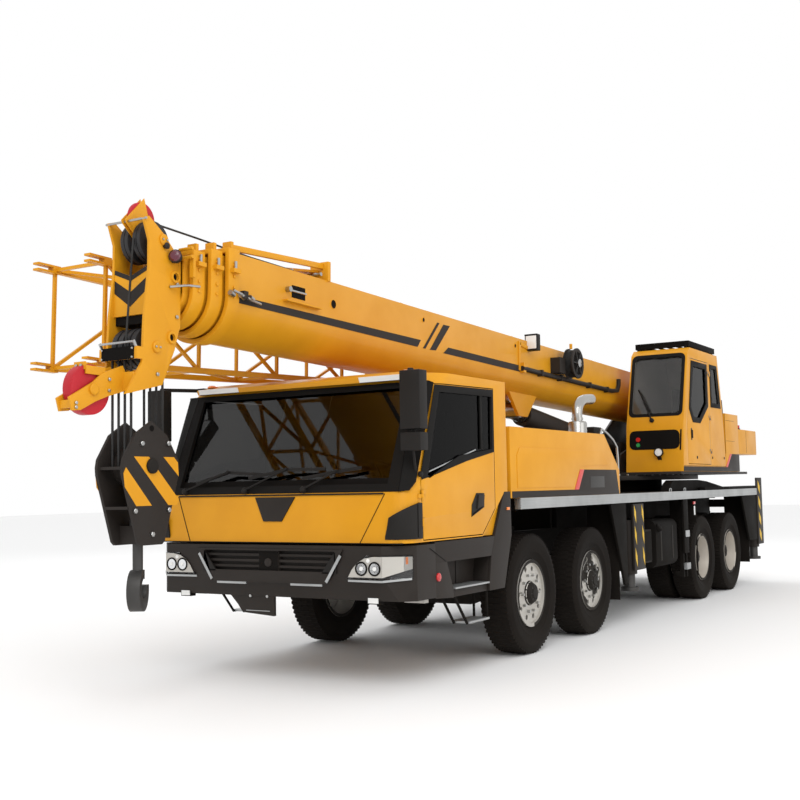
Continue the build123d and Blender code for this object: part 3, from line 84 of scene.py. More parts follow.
class Slot(str, Enum):
    """The record's material slots."""

    YELLOW = "yellow_paint"
    DARK = "dark_paint"
    CHASSIS = "chassis_paint"
    DECK = "bright_deck"
    TYRE = "tyre_rubber"
    IRON = "axle_iron"
    GLASS = "tinted_glass"
    LAMP = "lamp_glass"
    TRIM = "cab_trim"
    CLOTH = "seat_cloth"
    POLISHED = "polished_steel"
    PISTON = "piston_steel"
    SHEAVE = "sheave_plastic"
    ROPE = "wire_rope"
    HOOK = "hook_iron"


@dataclass(frozen=True)
class Finish:
    """One surface finish and how it varies; without a shade it is the same all over."""

    name: str
    slot: Slot
    roughness: float
    colour: Colour
    shade: Optional[Colour] = None
    metallic: float = 0.0
    coat: float = 0.0
    grain: float = 400.0
    relief: float = 0.0002
    dust: float = 0.0
    dust_height: float = 0.9
    transmission: float = 0.0
    specular: float = 0.5
    ior: float = 1.45


YELLOW = Finish("orange_enamel", Slot.YELLOW, 0.4, (0.66, 0.295, 0.01), (0.6, 0.26, 0.009), coat=0.08,
    relief=0.00006, dust=0.04, specular=0.22)
CHARCOAL = Finish("charcoal_enamel", Slot.DARK, 0.5, (0.02, 0.016, 0.0135), (0.028, 0.023, 0.02), dust=0.04,
    specular=0.2)
BLACK = Finish("chassis_black", Slot.CHASSIS, 0.7, (0.0045, 0.0036, 0.003), (0.008, 0.0068, 0.0058),
    dust=0.03, dust_height=1.1, specular=0.1)
STRIPE_RED = Finish("stripe_red", Slot.YELLOW, 0.4, (0.62, 0.035, 0.02), (0.55, 0.03, 0.02), coat=0.3,
    dust=0.1)
SIGN_RED = Finish("sheave_red", Slot.SHEAVE, 0.45, (0.46, 0.014, 0.024), (0.38, 0.012, 0.02), coat=0.1,
    dust=0.02, specular=0.25)
ALUMINIUM = Finish("deck_aluminium", Slot.DECK, 0.4, (0.46, 0.47, 0.47), (0.36, 0.37, 0.37), metallic=0.85,
    grain=900.0, dust=0.1)
RUBBER = Finish("tread_rubber", Slot.TYRE, 0.8, (0.0085, 0.0066, 0.0054), (0.014, 0.0115, 0.0095),
    grain=260.0, relief=0.0005, dust=0.04, dust_height=0.3, specular=0.12)
SEAL = Finish("seal_rubber", Slot.TRIM, 0.6, (0.0055, 0.0048, 0.0043), (0.008, 0.0072, 0.0066), dust=0.01,
    specular=0.15)
IRON = Finish("axle_black", Slot.IRON, 0.65, (0.009, 0.0075, 0.0065), (0.02, 0.017, 0.014), grain=180.0,
    relief=0.0006, dust=0.06, specular=0.2)
SILVER = Finish("wheel_silver", Slot.POLISHED, 0.42, (0.5, 0.48, 0.44), (0.44, 0.42, 0.385), metallic=0.4,
    dust=0.05)
CREAM = Finish("rim_cream", Slot.POLISHED, 0.42, (0.62, 0.57, 0.5), (0.54, 0.49, 0.43), metallic=0.3,
    dust=0.08)
STEEL = Finish("bright_steel", Slot.PISTON, 0.26, (0.46, 0.46, 0.45), (0.36, 0.36, 0.35), metallic=1.0,
    grain=700.0, dust=0.03)
PLASTIC = Finish("moulded_black", Slot.TRIM, 0.5, (0.0105, 0.009, 0.008), (0.016, 0.014, 0.0125),
    grain=1200.0, relief=0.00015, dust=0.03, specular=0.22)
CLOTH = Finish("seat_weave", Slot.CLOTH, 0.9, (0.03, 0.03, 0.035), (0.05, 0.05, 0.055), grain=1500.0,
    relief=0.0004)
SHEAVE = Finish("cast_nylon", Slot.SHEAVE, 0.46, (0.018, 0.017, 0.018), (0.03, 0.029, 0.03), grain=300.0,
    dust=0.03, specular=0.35)
ROPE = Finish("greased_wire", Slot.ROPE, 0.45, (0.02, 0.019, 0.018), (0.05, 0.05, 0.05), metallic=0.4,
    grain=900.0, specular=0.3)
FORGED = Finish("forged_hook", Slot.HOOK, 0.5, (0.05, 0.048, 0.046), (0.09, 0.088, 0.085), metallic=0.7,
    grain=160.0, relief=0.0005, dust=0.04)
WINDOW = Finish("tinted_window", Slot.GLASS, 0.03, (0.12, 0.12, 0.115), transmission=1.0)
LENS = Finish("clear_lens", Slot.LAMP, 0.05, (0.92, 0.93, 0.95), transmission=1.0)
AMBER = Finish("amber_lens", Slot.LAMP, 0.2, (0.85, 0.22, 0.01), (0.75, 0.18, 0.01), coat=0.6)
RED_LENS = Finish("red_lens", Slot.LAMP, 0.2, (0.55, 0.01, 0.012), (0.45, 0.01, 0.01), coat=0.6)
MIRROR = Finish("mirror_silver", Slot.POLISHED, 0.05, (0.8, 0.81, 0.82), (0.78, 0.79, 0.8), metallic=1.0)
WHITE = Finish("lamp_white", Slot.LAMP, 0.3, (0.8, 0.8, 0.78), (0.75, 0.75, 0.73), coat=0.3)
CHROME = Finish("exhaust_chrome", Slot.POLISHED, 0.22, (0.42, 0.41, 0.39), (0.34, 0.33, 0.31), metallic=1.0,
    grain=900.0)
DARK_LENS = Finish("dark_lens", Slot.LAMP, 0.12, (0.11, 0.006, 0.02), (0.08, 0.006, 0.02), coat=0.6)
GREEN_LENS = Finish("green_lens", Slot.LAMP, 0.2, (0.02, 0.3, 0.08), (0.02, 0.24, 0.07), coat=0.6)
# Painted shade: the rear rims' discs are darker to stand in for the shade inside the dish.
SHADED_DISC = Finish("wheel_disc", Slot.POLISHED, 0.5, (0.22, 0.19, 0.16), (0.14, 0.12, 0.1), metallic=0.6,
    dust=0.1)
SIGN_YELLOW = Finish("sign_yellow", Slot.YELLOW, 0.45, (0.7, 0.44, 0.03), (0.62, 0.38, 0.025), dust=0.03,
    specular=0.25)
SIDE_WINDOW = Finish("dark_window", Slot.GLASS, 0.04, (0.035, 0.033, 0.03), transmission=1.0, specular=0.12,
    ior=1.12)
CLEAR_WINDOW = Finish("clear_window", Slot.GLASS, 0.03, (0.8, 0.78, 0.75), transmission=1.0)
LINING = Finish("cab_lining", Slot.TRIM, 0.8, (0.3, 0.275, 0.25), (0.24, 0.22, 0.2), specular=0.2)


def wire(
    tree: bpy.types.NodeTree, family: str, kinds: dict[str, str], links: Sequence[str],
    values: dict[str, object]
) -> dict[str, bpy.types.Node]:
    """Add nodes to a group and join their sockets.

    Args:
        tree: the group, with its outer sockets made.
        family: what the node types' names start with.
        kinds: each node's name and type, with a maths node's operation and "clamp" after colons.
        links: joins as "node.socket > node.socket", where "in" and "out" are the group's own ends.
        values: the inputs, as "node.socket", that have a value of their own.

    Returns:
        The nodes by name.
    """
    nodes = {"in": tree.nodes.new("NodeGroupInput"), "out": tree.nodes.new("NodeGroupOutput")}
    for name, kind in kinds.items():
        title, *modes = kind.split(":")
        nodes[name] = tree.nodes.new(family + title)
        if modes:
            nodes[name].operation = modes[0]
            nodes[name].use_clamp = len(modes) > 1

    def socket(end: str, side: str) -> bpy.types.NodeSocket:
        """A socket from its written place."""
        name, title = end.split(".")
        return getattr(nodes[name], side)[int(title) if title.isdigit() else title]

    for end, value in values.items():
        socket(end, "inputs").default_value = value
    for link in links:
        start, end = link.split(" > ")
        tree.links.new(socket(start, "outputs"), socket(end, "inputs"))
    return nodes


class PaintShop:
    """Builds each finish's material once, from shared node groups."""

    def __init__(self) -> None:
        """Make the shared groups: slow mottling, road dust and fine surface relief."""
        self.made: dict[str, bpy.types.Material] = {}
        self.mottle = self._group("mottle", ("Scale", "Contrast"), "Mask")
        wire(
            self.mottle, "ShaderNode",
            {"place": "TexCoord", "noise": "TexNoise", "spread": "MapRange", "scaled": "Math:MULTIPLY"},
            ("place.Object > noise.Vector", "in.Scale > noise.Scale", "noise.Fac > spread.Value",
             "spread.Result > scaled.0", "in.Contrast > scaled.1", "scaled.0 > out.Mask"),
            {"noise.Detail": 6, "spread.From Min": 0.35, "spread.From Max": 0.68},
        )
        self.dust = self._group("road_dust", ("Amount", "Height"), "Mask")
        wire(
            self.dust, "ShaderNode",
            {"place": "TexCoord", "split": "SeparateXYZ", "ratio": "Math:DIVIDE",
                "low": "Math:SUBTRACT:clamp",
             "noise": "TexNoise", "patches": "Math:MULTIPLY", "total": "Math:MULTIPLY:clamp"},
            ("place.Object > split.0", "split.Z > ratio.0", "in.Height > ratio.1", "ratio.0 > low.1",
             "place.Object > noise.Vector", "low.0 > patches.0", "noise.Fac > patches.1",
             "patches.0 > total.0", "in.Amount > total.1", "total.0 > out.Mask"),
            {"low.0": 1.15, "noise.Scale": 14, "noise.Detail": 8, "noise.Roughness": 0.7},
        )
        self.grain = self._group("grain", ("Scale", "Relief"), "Height")
        wire(
            self.grain, "ShaderNode", {"place": "TexCoord", "noise": "TexNoise", "scaled": "Math:MULTIPLY"},
            ("place.Object > noise.Vector", "in.Scale > noise.Scale", "noise.Fac > scaled.0",
             "in.Relief > scaled.1", "scaled.0 > out.Height"),
            {"noise.Detail": 3},
        )

    @staticmethod
    def _group(name: str, inputs: Sequence[str], output: str) -> bpy.types.NodeTree:
        """An empty node group with float inputs and one float output."""
        tree = bpy.data.node_groups.new(name, "ShaderNodeTree")
        for title in inputs:
            tree.interface.new_socket(name=title, in_out="INPUT", socket_type="NodeSocketFloat")
        tree.interface.new_socket(name=output, in_out="OUTPUT", socket_type="NodeSocketFloat")
        return tree

    @staticmethod
    def _use(tree: bpy.types.NodeTree, group: bpy.types.NodeTree, **values: float) -> bpy.types.NodeSocket:
        """Place a group in a material with its own values, and give its output."""
        node = tree.nodes.new("ShaderNodeGroup")
        node.node_tree = group
        for title, value in values.items():
            node.inputs[title].default_value = value
        return node.outputs[0]

    @staticmethod
    def _mix(
        tree: bpy.types.NodeTree, mask: bpy.types.NodeSocket, low: object, high: object
    ) -> bpy.types.NodeSocket:
        """Mix two colours, each a socket or a plain colour, by a mask.

        Args:
            tree: the material's node tree.
            mask: the mask's socket.
            low: what shows where the mask is 0.
            high: what shows where the mask is 1.

        Returns:
            The mixed colour's socket.
        """
        node = tree.nodes.new("ShaderNodeMix")
        node.data_type = "RGBA"
        tree.links.new(mask, node.inputs[0])
        for socket, value in ((node.inputs[6], low), (node.inputs[7], high)):
            if isinstance(value, bpy.types.NodeSocket):
                tree.links.new(value, socket)
            else:
                socket.default_value = (*value, 1)
        return node.outputs[2]

    def material(self, finish: Finish) -> bpy.types.Material:
        """The material of a finish, built at its first use."""
        if finish.name in self.made:
            return self.made[finish.name]
        made = bpy.data.materials.new(finish.name)
        made.use_nodes = True
        tree = made.node_tree
        inputs = tree.nodes["Principled BSDF"].inputs
        plain = {
            "Base Color": (*finish.colour, 1), "Roughness": finish.roughness, "Metallic": finish.metallic,
            "Transmission Weight": finish.transmission, "Coat Weight": finish.coat, "Coat Roughness": 0.12,
            "Specular IOR Level": finish.specular, "IOR": finish.ior,
        }
        for title, value in plain.items():
            inputs[title].default_value = value
        if finish.shade:
            mask = self._use(tree, self.mottle, Scale=3.0, Contrast=0.8)
            colour = self._mix(tree, mask, finish.colour, finish.shade)
            rough = tree.nodes.new("ShaderNodeMapRange")
            rough.inputs["To Min"].default_value = finish.roughness
            rough.inputs["To Max"].default_value = min(1.0, finish.roughness * 1.25 + 0.02)
            tree.links.new(mask, rough.inputs["Value"])
            tree.links.new(rough.outputs["Result"], inputs["Roughness"])
            if finish.dust > 0:
                dust = self._use(tree, self.dust, Amount=finish.dust * 2, Height=finish.dust_height)
                colour = self._mix(tree, dust, colour, DUST_COLOUR)
            tree.links.new(colour, inputs["Base Color"])
        if finish.transmission == 0:
            bump = tree.nodes.new("ShaderNodeBump")
            bump.inputs["Distance"].default_value = 1.0
            height = self._use(tree, self.grain, Scale=finish.grain, Relief=finish.relief)
            tree.links.new(height, bump.inputs["Height"])
            tree.links.new(bump.outputs["Normal"], inputs["Normal"])
        self.made[finish.name] = made
        return made


SHOP = PaintShop()


def link_object(name: str, data: bpy.types.ID) -> bpy.types.Object:
    """A new object in the scene that holds some data."""
    made = bpy.data.objects.new(name, data)
    bpy.context.scene.collection.objects.link(made)
    return made


class Mesher:
    """Collects closed forms into one mesh, in the axes of a frame of the machine."""

    def __init__(self, place: Matrix = CARRIER_FRAME) -> None:
        """Start empty, with the frame that the points are given in."""
        self.mesh = bmesh.new()
        self.place = place
        self.finishes: list[Finish] = []
        self.current = 0

    def use(self, finish: Finish) -> "Mesher":
        """Give the forms that follow this finish."""
        if finish not in self.finishes:
            self.finishes.append(finish)
        self.current = self.finishes.index(finish)
        return self

    def skin(self, rings: Sequence[Sequence[Point]], closed: bool = False) -> "Mesher":
        """Skin rings of points, and join the last to the first, or else cap both ends."""
        made = [[self.mesh.verts.new(point) for point in ring] for ring in rings]
        count = len(made[0])
        loops = []
        for low, high in zip(made, made[1:] + made[:1] if closed else made[1:]):
            for n in range(count):
                m = (n + 1) % count
                loops.append((low[n], low[m], high[m], high[n]))
        if not closed:
            loops += [made[0][::-1], made[-1]]
        for loop in loops:
            self.mesh.faces.new(loop).material_index = self.current
        return self

    def box(self, low: Point, high: Point) -> "Mesher":
        """A box between two corners."""
        (x0, y0, z0), (x1, y1, z1) = low, high
        ring = ((x0, y0), (x1, y0), (x1, y1), (x0, y1))
        return self.skin([[(x, y, z) for x, y in ring] for z in (z0, z1)])

    def prism(self, outline: Sequence[Point], axis: str, low: float, high: float) -> "Mesher":
        """A flat outline pushed along an axis.

        Args:
            outline: points in the other two axes, in alphabetical order.
            axis: X, Y or Z.
            low: where the form starts on that axis.
            high: where it ends.

        Returns:
            This mesher.
        """
        at = "XYZ".index(axis)
        return self.skin([[(*p[:at], level, *p[at:]) for p in outline] for level in (low, high)])

    @staticmethod
    def _across(along: Vector) -> tuple[Vector, Vector]:
        """Two unit vectors square to a direction."""
        side = along.cross(Vector(ALONG_Z))
        if side.length < 1e-4:
            side = along.cross(Vector(ALONG_Y))
        side.normalize()
        return side, along.cross(side).normalized()

    @staticmethod
    def _spokes(u: Vector, v: Vector, sides: int) -> list[Vector]:
        """Unit vectors round a full turn in the plane of two others."""
        turns = [2 * math.pi * n / sides for n in range(sides)]
        return [u * math.cos(turn) + v * math.sin(turn) for turn in turns]

    def lathe(self, origin: Point, axis: Point, profile: Sequence[Point], sides: int = 32) -> "Mesher":
        """A body of revolution.

        Args:
            origin: a point on its axis.
            axis: the axis' direction.
            profile: (radius, distance along the axis) pairs.
            sides: how many sides it has.

        Returns:
            This mesher.
        """
        along = Vector(axis).normalized()
        spokes = self._spokes(*self._across(along), sides)
        return self.skin([[Vector(origin) + along * reach + spoke * max(radius, 1e-5) for spoke in spokes]
                          for radius, reach in profile])

    def ring(self, origin: Point, axis: Point, profile: Sequence[Point], sides: int = 32) -> "Mesher":
        """A closed ring of revolution from a closed (radius, distance) profile."""
        along = Vector(axis).normalized()
        spokes = self._spokes(*self._across(along), sides)
        return self.skin([[Vector(origin) + along * reach + spoke * radius for radius, reach in profile]
                          for spoke in spokes], True)

    def rod(self, start: Point, end: Point, radius: float, sides: int = 16) -> "Mesher":
        """A round bar between two points."""
        a, b = Vector(start), Vector(end)
        return self.lathe(a, b - a, [(radius, 0), (radius, (b - a).length)], sides)

    def bar(self, start: Point, end: Point, width: float, depth: float) -> "Mesher":
        """A rectangular bar between two points."""
        a, b = Vector(start), Vector(end)
        u, v = self._across((b - a).normalized())
        corners = ((-1, -1), (1, -1), (1, 1), (-1, 1))
        return self.skin([[point + u * s * width / 2 + v * t * depth / 2 for s, t in corners]
            for point in (a, b)])

    def tube(self, path: Sequence[Point], radius: float, sides: int = 10) -> "Mesher":
        """A round tube along a path of points."""
        points = [Vector(p) for p in path]
        rings = []
        side: Optional[Vector] = None
        for n, point in enumerate(points):
            along = (points[min(n + 1, len(points) - 1)] - points[max(n - 1, 0)]).normalized()
            if side is None:
                side = self._across(along)[0]
            side = (side - along * side.dot(along)).normalized()
            rings.append([point + spoke * radius for spoke in self._spokes(side, along.cross(side), sides)])
        return self.skin(rings)

    def bolts(self, centres: Sequence[Point], axis: Point, radius: float, height: float) -> "Mesher":
        """Hexagon heads at several points, standing along an axis."""
        for centre in centres:
            self.lathe(centre, axis, [(radius, 0), (radius, height * 0.85), (radius * 0.85, height)], 6)
        return self

    def plate(self, points: Sequence[Point], push: Point) -> "Mesher":
        """A flat polygon in space, pushed along a vector."""
        ring = [Vector(p) for p in points]
        return self.skin([ring, [p + Vector(push) for p in ring]])

    def frame(self, outer: Sequence[Point], inner: Sequence[Point], push: Point) -> "Mesher":
        """A closed frame between two outlines of as many points, pushed along a vector."""
        pairs = [(Vector(a), Vector(b)) for a, b in zip(outer, inner)]
        return self.skin([[a, b, b + Vector(push), a + Vector(push)] for a, b in pairs], True)

    def side_frame(self, outer: Sequence[Point], inner: Sequence[Point], y: float, depth: float) -> "Mesher":
        """A frame between two outlines given in X and Z, which stands on a side wall."""
        return self.frame([(a, y, b) for a, b in outer], [(a, y, b) for a, b in inner], (0, depth, 0))

    def add(self, made: bpy.types.Mesh, place: Matrix) -> "Mesher":
        """Take in a finished mesh at a place, with the current finish."""
        made.transform(place)
        count = len(self.mesh.faces)
        self.mesh.from_mesh(made)
        self.mesh.faces.ensure_lookup_table()
        for face in self.mesh.faces[count:]:
            face.material_index = self.current
        bpy.data.meshes.remove(made)
        return self

    def mirrored(self) -> "Mesher":
        """Add the mirror image on the other side of the machine."""
        mesh = self.mesh
        made = bmesh.ops.duplicate(mesh, geom=mesh.verts[:] + mesh.edges[:] + mesh.faces[:])["geom"]
        for part in made:
            if isinstance(part, bmesh.types.BMVert):
                part.co.y = -part.co.y
        bmesh.ops.reverse_faces(mesh, faces=[part for part in made if isinstance(part, bmesh.types.BMFace)])
        return self

    def done(self, name: str, body: str, bevel: float = 0.0, smooth: float = 35.0) -> bpy.types.Object:
        """Write the mesh as a piece that rides on a body.

        Args:
            name: the piece's name.
            body: the body that it rides on.
            bevel: how far sharp edges are rounded, in metres.
            smooth: faces that meet under this angle in degrees are shaded as one.

        Returns:
            The piece.
        """
        bmesh.ops.recalc_face_normals(self.mesh, faces=self.mesh.faces)
        self.mesh.transform(self.place)
        piece = write_piece(self.mesh, name, body, self.finishes, bevel, smooth)
        if self.place.determinant() < 0:
            piece.data.flip_normals()
        return piece


def write_piece(
    mesh: bmesh.types.BMesh, name: str, body: str, finishes: Sequence[Finish], bevel: float, smooth: float
) -> bpy.types.Object:
    """Turn a bmesh into a piece with rounded edges and its materials.

    Args:
        mesh: the mesh, which is freed.
        name: the piece's name.
        body: the body that it rides on.
        finishes: its finishes, by material index.
        bevel: how far sharp edges are rounded, or 0 for not at all.
        smooth: the shading angle in degrees.

    Returns:
        The piece.
    """
    limit = math.radians(smooth)
    if bevel > 0:
        sharp = [e for e in mesh.edges if e.is_manifold and e.calc_face_angle(0) > limit]
        bmesh.ops.bevel(mesh, geom=sharp, offset=bevel, segments=2, profile=0.6, affect="EDGES",
                        clamp_overlap=True, material=-1)
    for face in mesh.faces:
        face.smooth = True
    for edge in mesh.edges:
        edge.smooth = edge.is_manifold and edge.calc_face_angle(0) < limit
    data = bpy.data.meshes.new(name)
    mesh.to_mesh(data)
    mesh.free()
    for finish in finishes:
        data.materials.append(SHOP.material(finish))
    piece = link_object(name, data)
    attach(piece, body)
    LOG.info("%s: %d faces on %s", name, len(data.polygons), body)
    return piece


def islands(mesh: bmesh.types.BMesh) -> list[list[bmesh.types.BMFace]]:
    """A mesh's separate shells, each as its faces."""
    seen: set[int] = set()
    found = []
    mesh.faces.index_update()
    for start in mesh.faces:
        if start.index in seen:
            continue
        seen.add(start.index)
        shell = [start]
        for face in shell:
            for other in [near for edge in face.edges for near in edge.link_faces]:
                if other.index not in seen:
                    seen.add(other.index)
                    shell.append(other)
        found.append(shell)
    return found


def dress_node(
    node: str, finish: Finish, bevel: float = 0.0, choose: Optional[Rule] = None,
    others: Sequence[Finish] = (), paint: Optional[Rule] = None,
) -> None:
    """Replace a node by its own shape with rounded edges and its finishes.

    Args:
        node: the CAD node.
        finish: its first finish.
        bevel: how far its sharp edges are rounded.
        choose: gives each shell, from its box, the number of its finish, or -1 to leave it out.
        others: further finishes, from number 1 on.
        paint: gives each face, from its middle and its normal, the number of its finish.
    """
    source = frame["nodes"][node]
    mesh = bmesh.new()
    mesh.from_mesh(source.data)
    bmesh.ops.remove_doubles(mesh, verts=mesh.verts, dist=1e-5)
    bmesh.ops.dissolve_limit(mesh, angle_limit=math.radians(0.5), verts=mesh.verts, edges=mesh.edges)
    for face in mesh.faces:
        face.material_index = 0
    if choose:
        dropped = []
        for shell in islands(mesh):
            corners = [vert.co for face in shell for vert in face.verts]
            number = choose(*(Vector([end(c[n] for c in corners) for n in range(3)]) for end in (min, max)))
            if number < 0:
                dropped += shell
            for face in shell:
                face.material_index = max(number, 0)
        bmesh.ops.delete(mesh, geom=dropped, context="FACES")
    if paint:
        mesh.normal_update()
        for face in mesh.faces:
            face.material_index = paint(face.calc_center_median(), face.normal)
    piece = write_piece(mesh, f"{node}_dressed", source["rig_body"], [finish, *others], bevel, 32.0)
    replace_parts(piece, node)


class StudRing:
    """A Geometry Nodes tree that stands studs or blocks on a circle round Z."""

    INPUTS = {"Count": "Int", "Radius": "Float", "Size": "Vector", "Sides": "Int", "Finish": "Material"}

    def __init__(self) -> None:
        """Make the tree with its named inputs."""
        self.tree = bpy.data.node_groups.new("ring_of_studs", "GeometryNodeTree")
        for title, kind in self.INPUTS.items():
            self.tree.interface.new_socket(name=title, in_out="INPUT", socket_type=f"NodeSocket{kind}")
        self.tree.interface.new_socket(name="Geometry", in_out="OUTPUT", socket_type="NodeSocketGeometry")
        kinds = {
            "circle": "GeometryNodeMeshCircle", "stud": "GeometryNodeMeshCylinder",
            "shape": "GeometryNodeTransform",
            "place": "GeometryNodeInputPosition", "turn": "FunctionNodeAlignRotationToVector",
            "stand": "GeometryNodeInstanceOnPoints", "real": "GeometryNodeRealizeInstances",
            "coat": "GeometryNodeSetMaterial",
        }
        links = (
            "in.Count > circle.Vertices", "in.Radius > circle.Radius", "in.Sides > stud.Vertices",
            "stud.Mesh > shape.Geometry", "in.Size > shape.Scale", "circle.Mesh > stand.Points",
            "shape.Geometry > stand.Instance", "place.Position > turn.Vector",
            "turn.Rotation > stand.Rotation",
            "stand.Instances > real.Geometry", "real.Geometry > coat.Geometry", "in.Finish > coat.Material",
            "coat.Geometry > out.Geometry",
        )
        nodes = wire(self.tree, "", kinds, links, {"stud.Radius": 0.5, "stud.Depth": 1.0})
        nodes["turn"].axis = "X"
        nodes["turn"].pivot_axis = "Z"

    def mesh(self, finish: Finish, count: int, radius: float, size: Point, sides: int) -> bpy.types.Mesh:
        """Evaluate the tree once and keep its mesh.

        Args:
            finish: what the studs are made of.
            count: how many.
            radius: the circle's radius.
            size: a stud's extents.
            sides: how many sides a stud has.

        Returns:
            The plain mesh.
        """
        holder = link_object("studs", bpy.data.meshes.new("studs"))
        modifier = holder.modifiers.new("studs", "NODES")
        modifier.node_group = self.tree
        values = dict(zip(self.INPUTS, (count, radius, size, sides, SHOP.material(finish))))
        for item in self.tree.interface.items_tree:
            if item.in_out == "INPUT":
                modifier[item.identifier] = values[item.name]
        graph = bpy.context.evaluated_depsgraph_get()
        made = bpy.data.meshes.new_from_object(holder.evaluated_get(graph))
        holder.modifiers.remove(modifier)
        bpy.data.objects.remove(holder)
        return made


STUDS = StudRing()


def screen_point(y: float, z: float, lift: float = 0.0) -> tuple[float, float, float]:
    """A point on the slanting windscreen plane, lifted along its normal."""
    return (2.262 - (z - 1.49) * 0.421 + lift * 0.9217, y, z + lift * 0.388)


def front_point(y: float, z: float, lift: float = 0.0) -> tuple[float, float, float]:
    """A point on the cab's front panel below the windscreen, lifted forward."""
    return (2.330 - (z - 1.110) * 0.1789 + lift, y, z)


ACROSS = Matrix.Rotation(math.radians(90), 4, "X")


@dataclass
class Wheel:
    """One wheel or wheel pair: tyres with tread, rim, nuts and hub cap."""

    number: int
    side: str
    radius: float = 0.542
    half_width: float = 0.15
    tread_depth: float = 0.009
    lugs: int = 66
    nuts: int = 10
    nut_circle: float = 0.1675
    middles: tuple[float, float, float] = (1.043, 1.07, 0.73)

    def tyre(self, mesher: Mesher, middle: float) -> None:
        """A tyre's carcass and its tread blocks, with its middle plane at a distance along the axle."""
        tread = self.radius - self.tread_depth
        half = self.half_width
        outer = [(0.2925, 0.113), (0.309, 0.114), (0.33, 0.12), (0.372, 0.138), (0.376, 0.141),
            (0.384, 0.1405), (0.42, 0.148), (0.46, half), (0.47, half),
                 (0.478, 0.1465), (0.505, 0.139), (tread - 0.008, 0.126), (tread, 0.112)]
        profile = [(r, middle + w) for r, w in outer] + [(r, middle - w) for r, w in reversed(outer)]
        mesher.use(RUBBER).ring((0, 0, 0), (0, 1, 0), profile, 72)
        for lane, width in ((-0.098, 0.06), (-0.033, 0.054), (0.033, 0.054), (0.098, 0.06)):
            size = (self.tread_depth * 2.6, 0.038, width)
            made = STUDS.mesh(RUBBER, self.lugs, tread - self.tread_depth * 0.45, size, 4)
            phase = math.pi / self.lugs if abs(lane) > 0.05 else 0.0
            turn = ACROSS @ Matrix.Rotation(phase, 4, "Z")
            mesher.add(made, Matrix.Translation((0, middle + lane, 0)) @ turn)

    def build(self) -> None:
        """Build the wheel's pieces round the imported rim."""
        front = self.number < 3
        node = f"wheel_{self.number}_{self.side}" if front else f"wheels_{self.number}_{self.side}"
        sign = 1 if self.side == "left" else -1
        hub = joint_place(f"roll_{self.number}_{self.side}")
        place = Matrix.Translation((hub.x, 0, hub.z)) @ Matrix.Scale(sign, 4, ALONG_Y)

        def hub_or_rim(middle: Vector, normal: Vector) -> int:
            """Iron for the hub, a darker disc of painted shade inside the rear rims, the rim's own finish
            elsewhere.
            """
            reach = math.hypot(middle.x - hub.x, middle.z - hub.z)
            if reach < 0.1:
                return 1
            return 2 if not front and reach < 0.235 and abs(normal.y) > 0.9 else 0

        dress_node(node, SILVER if front else CREAM, 0.0015,
            choose=lambda low, high: -1 if high.z - low.z > 1 else 0, others=(IRON, SHADED_DISC), paint=hub_or_rim)
        tyres = Mesher(place)
        for middle in self.middles[:1] if front else self.middles[1:]:
            self.tyre(tyres, middle)
        tyres.done(f"tyres_{self.number}_{self.side}", node, smooth=40)
        face, end = (1.143, 1.193) if front else (0.97, 1.13)
        dark = Mesher(place).use(IRON)
        dark.lathe((0, end - 0.075, 0), ALONG_Y, [(0.084, 0), (0.084, 0.06), (0.079, 0.071), (0.05, 0.077),
            (0.046, 0.086), (0.02, 0.088), (0, 0.088)], 32)
        dark.ring((0, face, 0), ALONG_Y, [(0.098, 0), (0.112, 0), (0.108, 0.01), (0.098, 0.012)], 40)
        cap = STUDS.mesh(FORGED, 8, 0.066, (0.014, 0.014, 0.012), 6)
        dark.use(FORGED).add(cap, Matrix.Translation((0, end, 0)) @ ACROSS)
        nuts = STUDS.mesh(STEEL, self.nuts, self.nut_circle, (0.026, 0.026, 0.03), 6)
        dark.use(STEEL if front else IRON).add(nuts, Matrix.Translation((0, face + 0.013, 0)) @ ACROSS)
        dark.tube([(0.235, face + 0.004, 0.02), (0.245, face + 0.02, 0.022), (0.25, face + 0.05, 0.024)],
            0.006, 8)
        dark.done(f"hub_{self.number}_{self.side}", node)


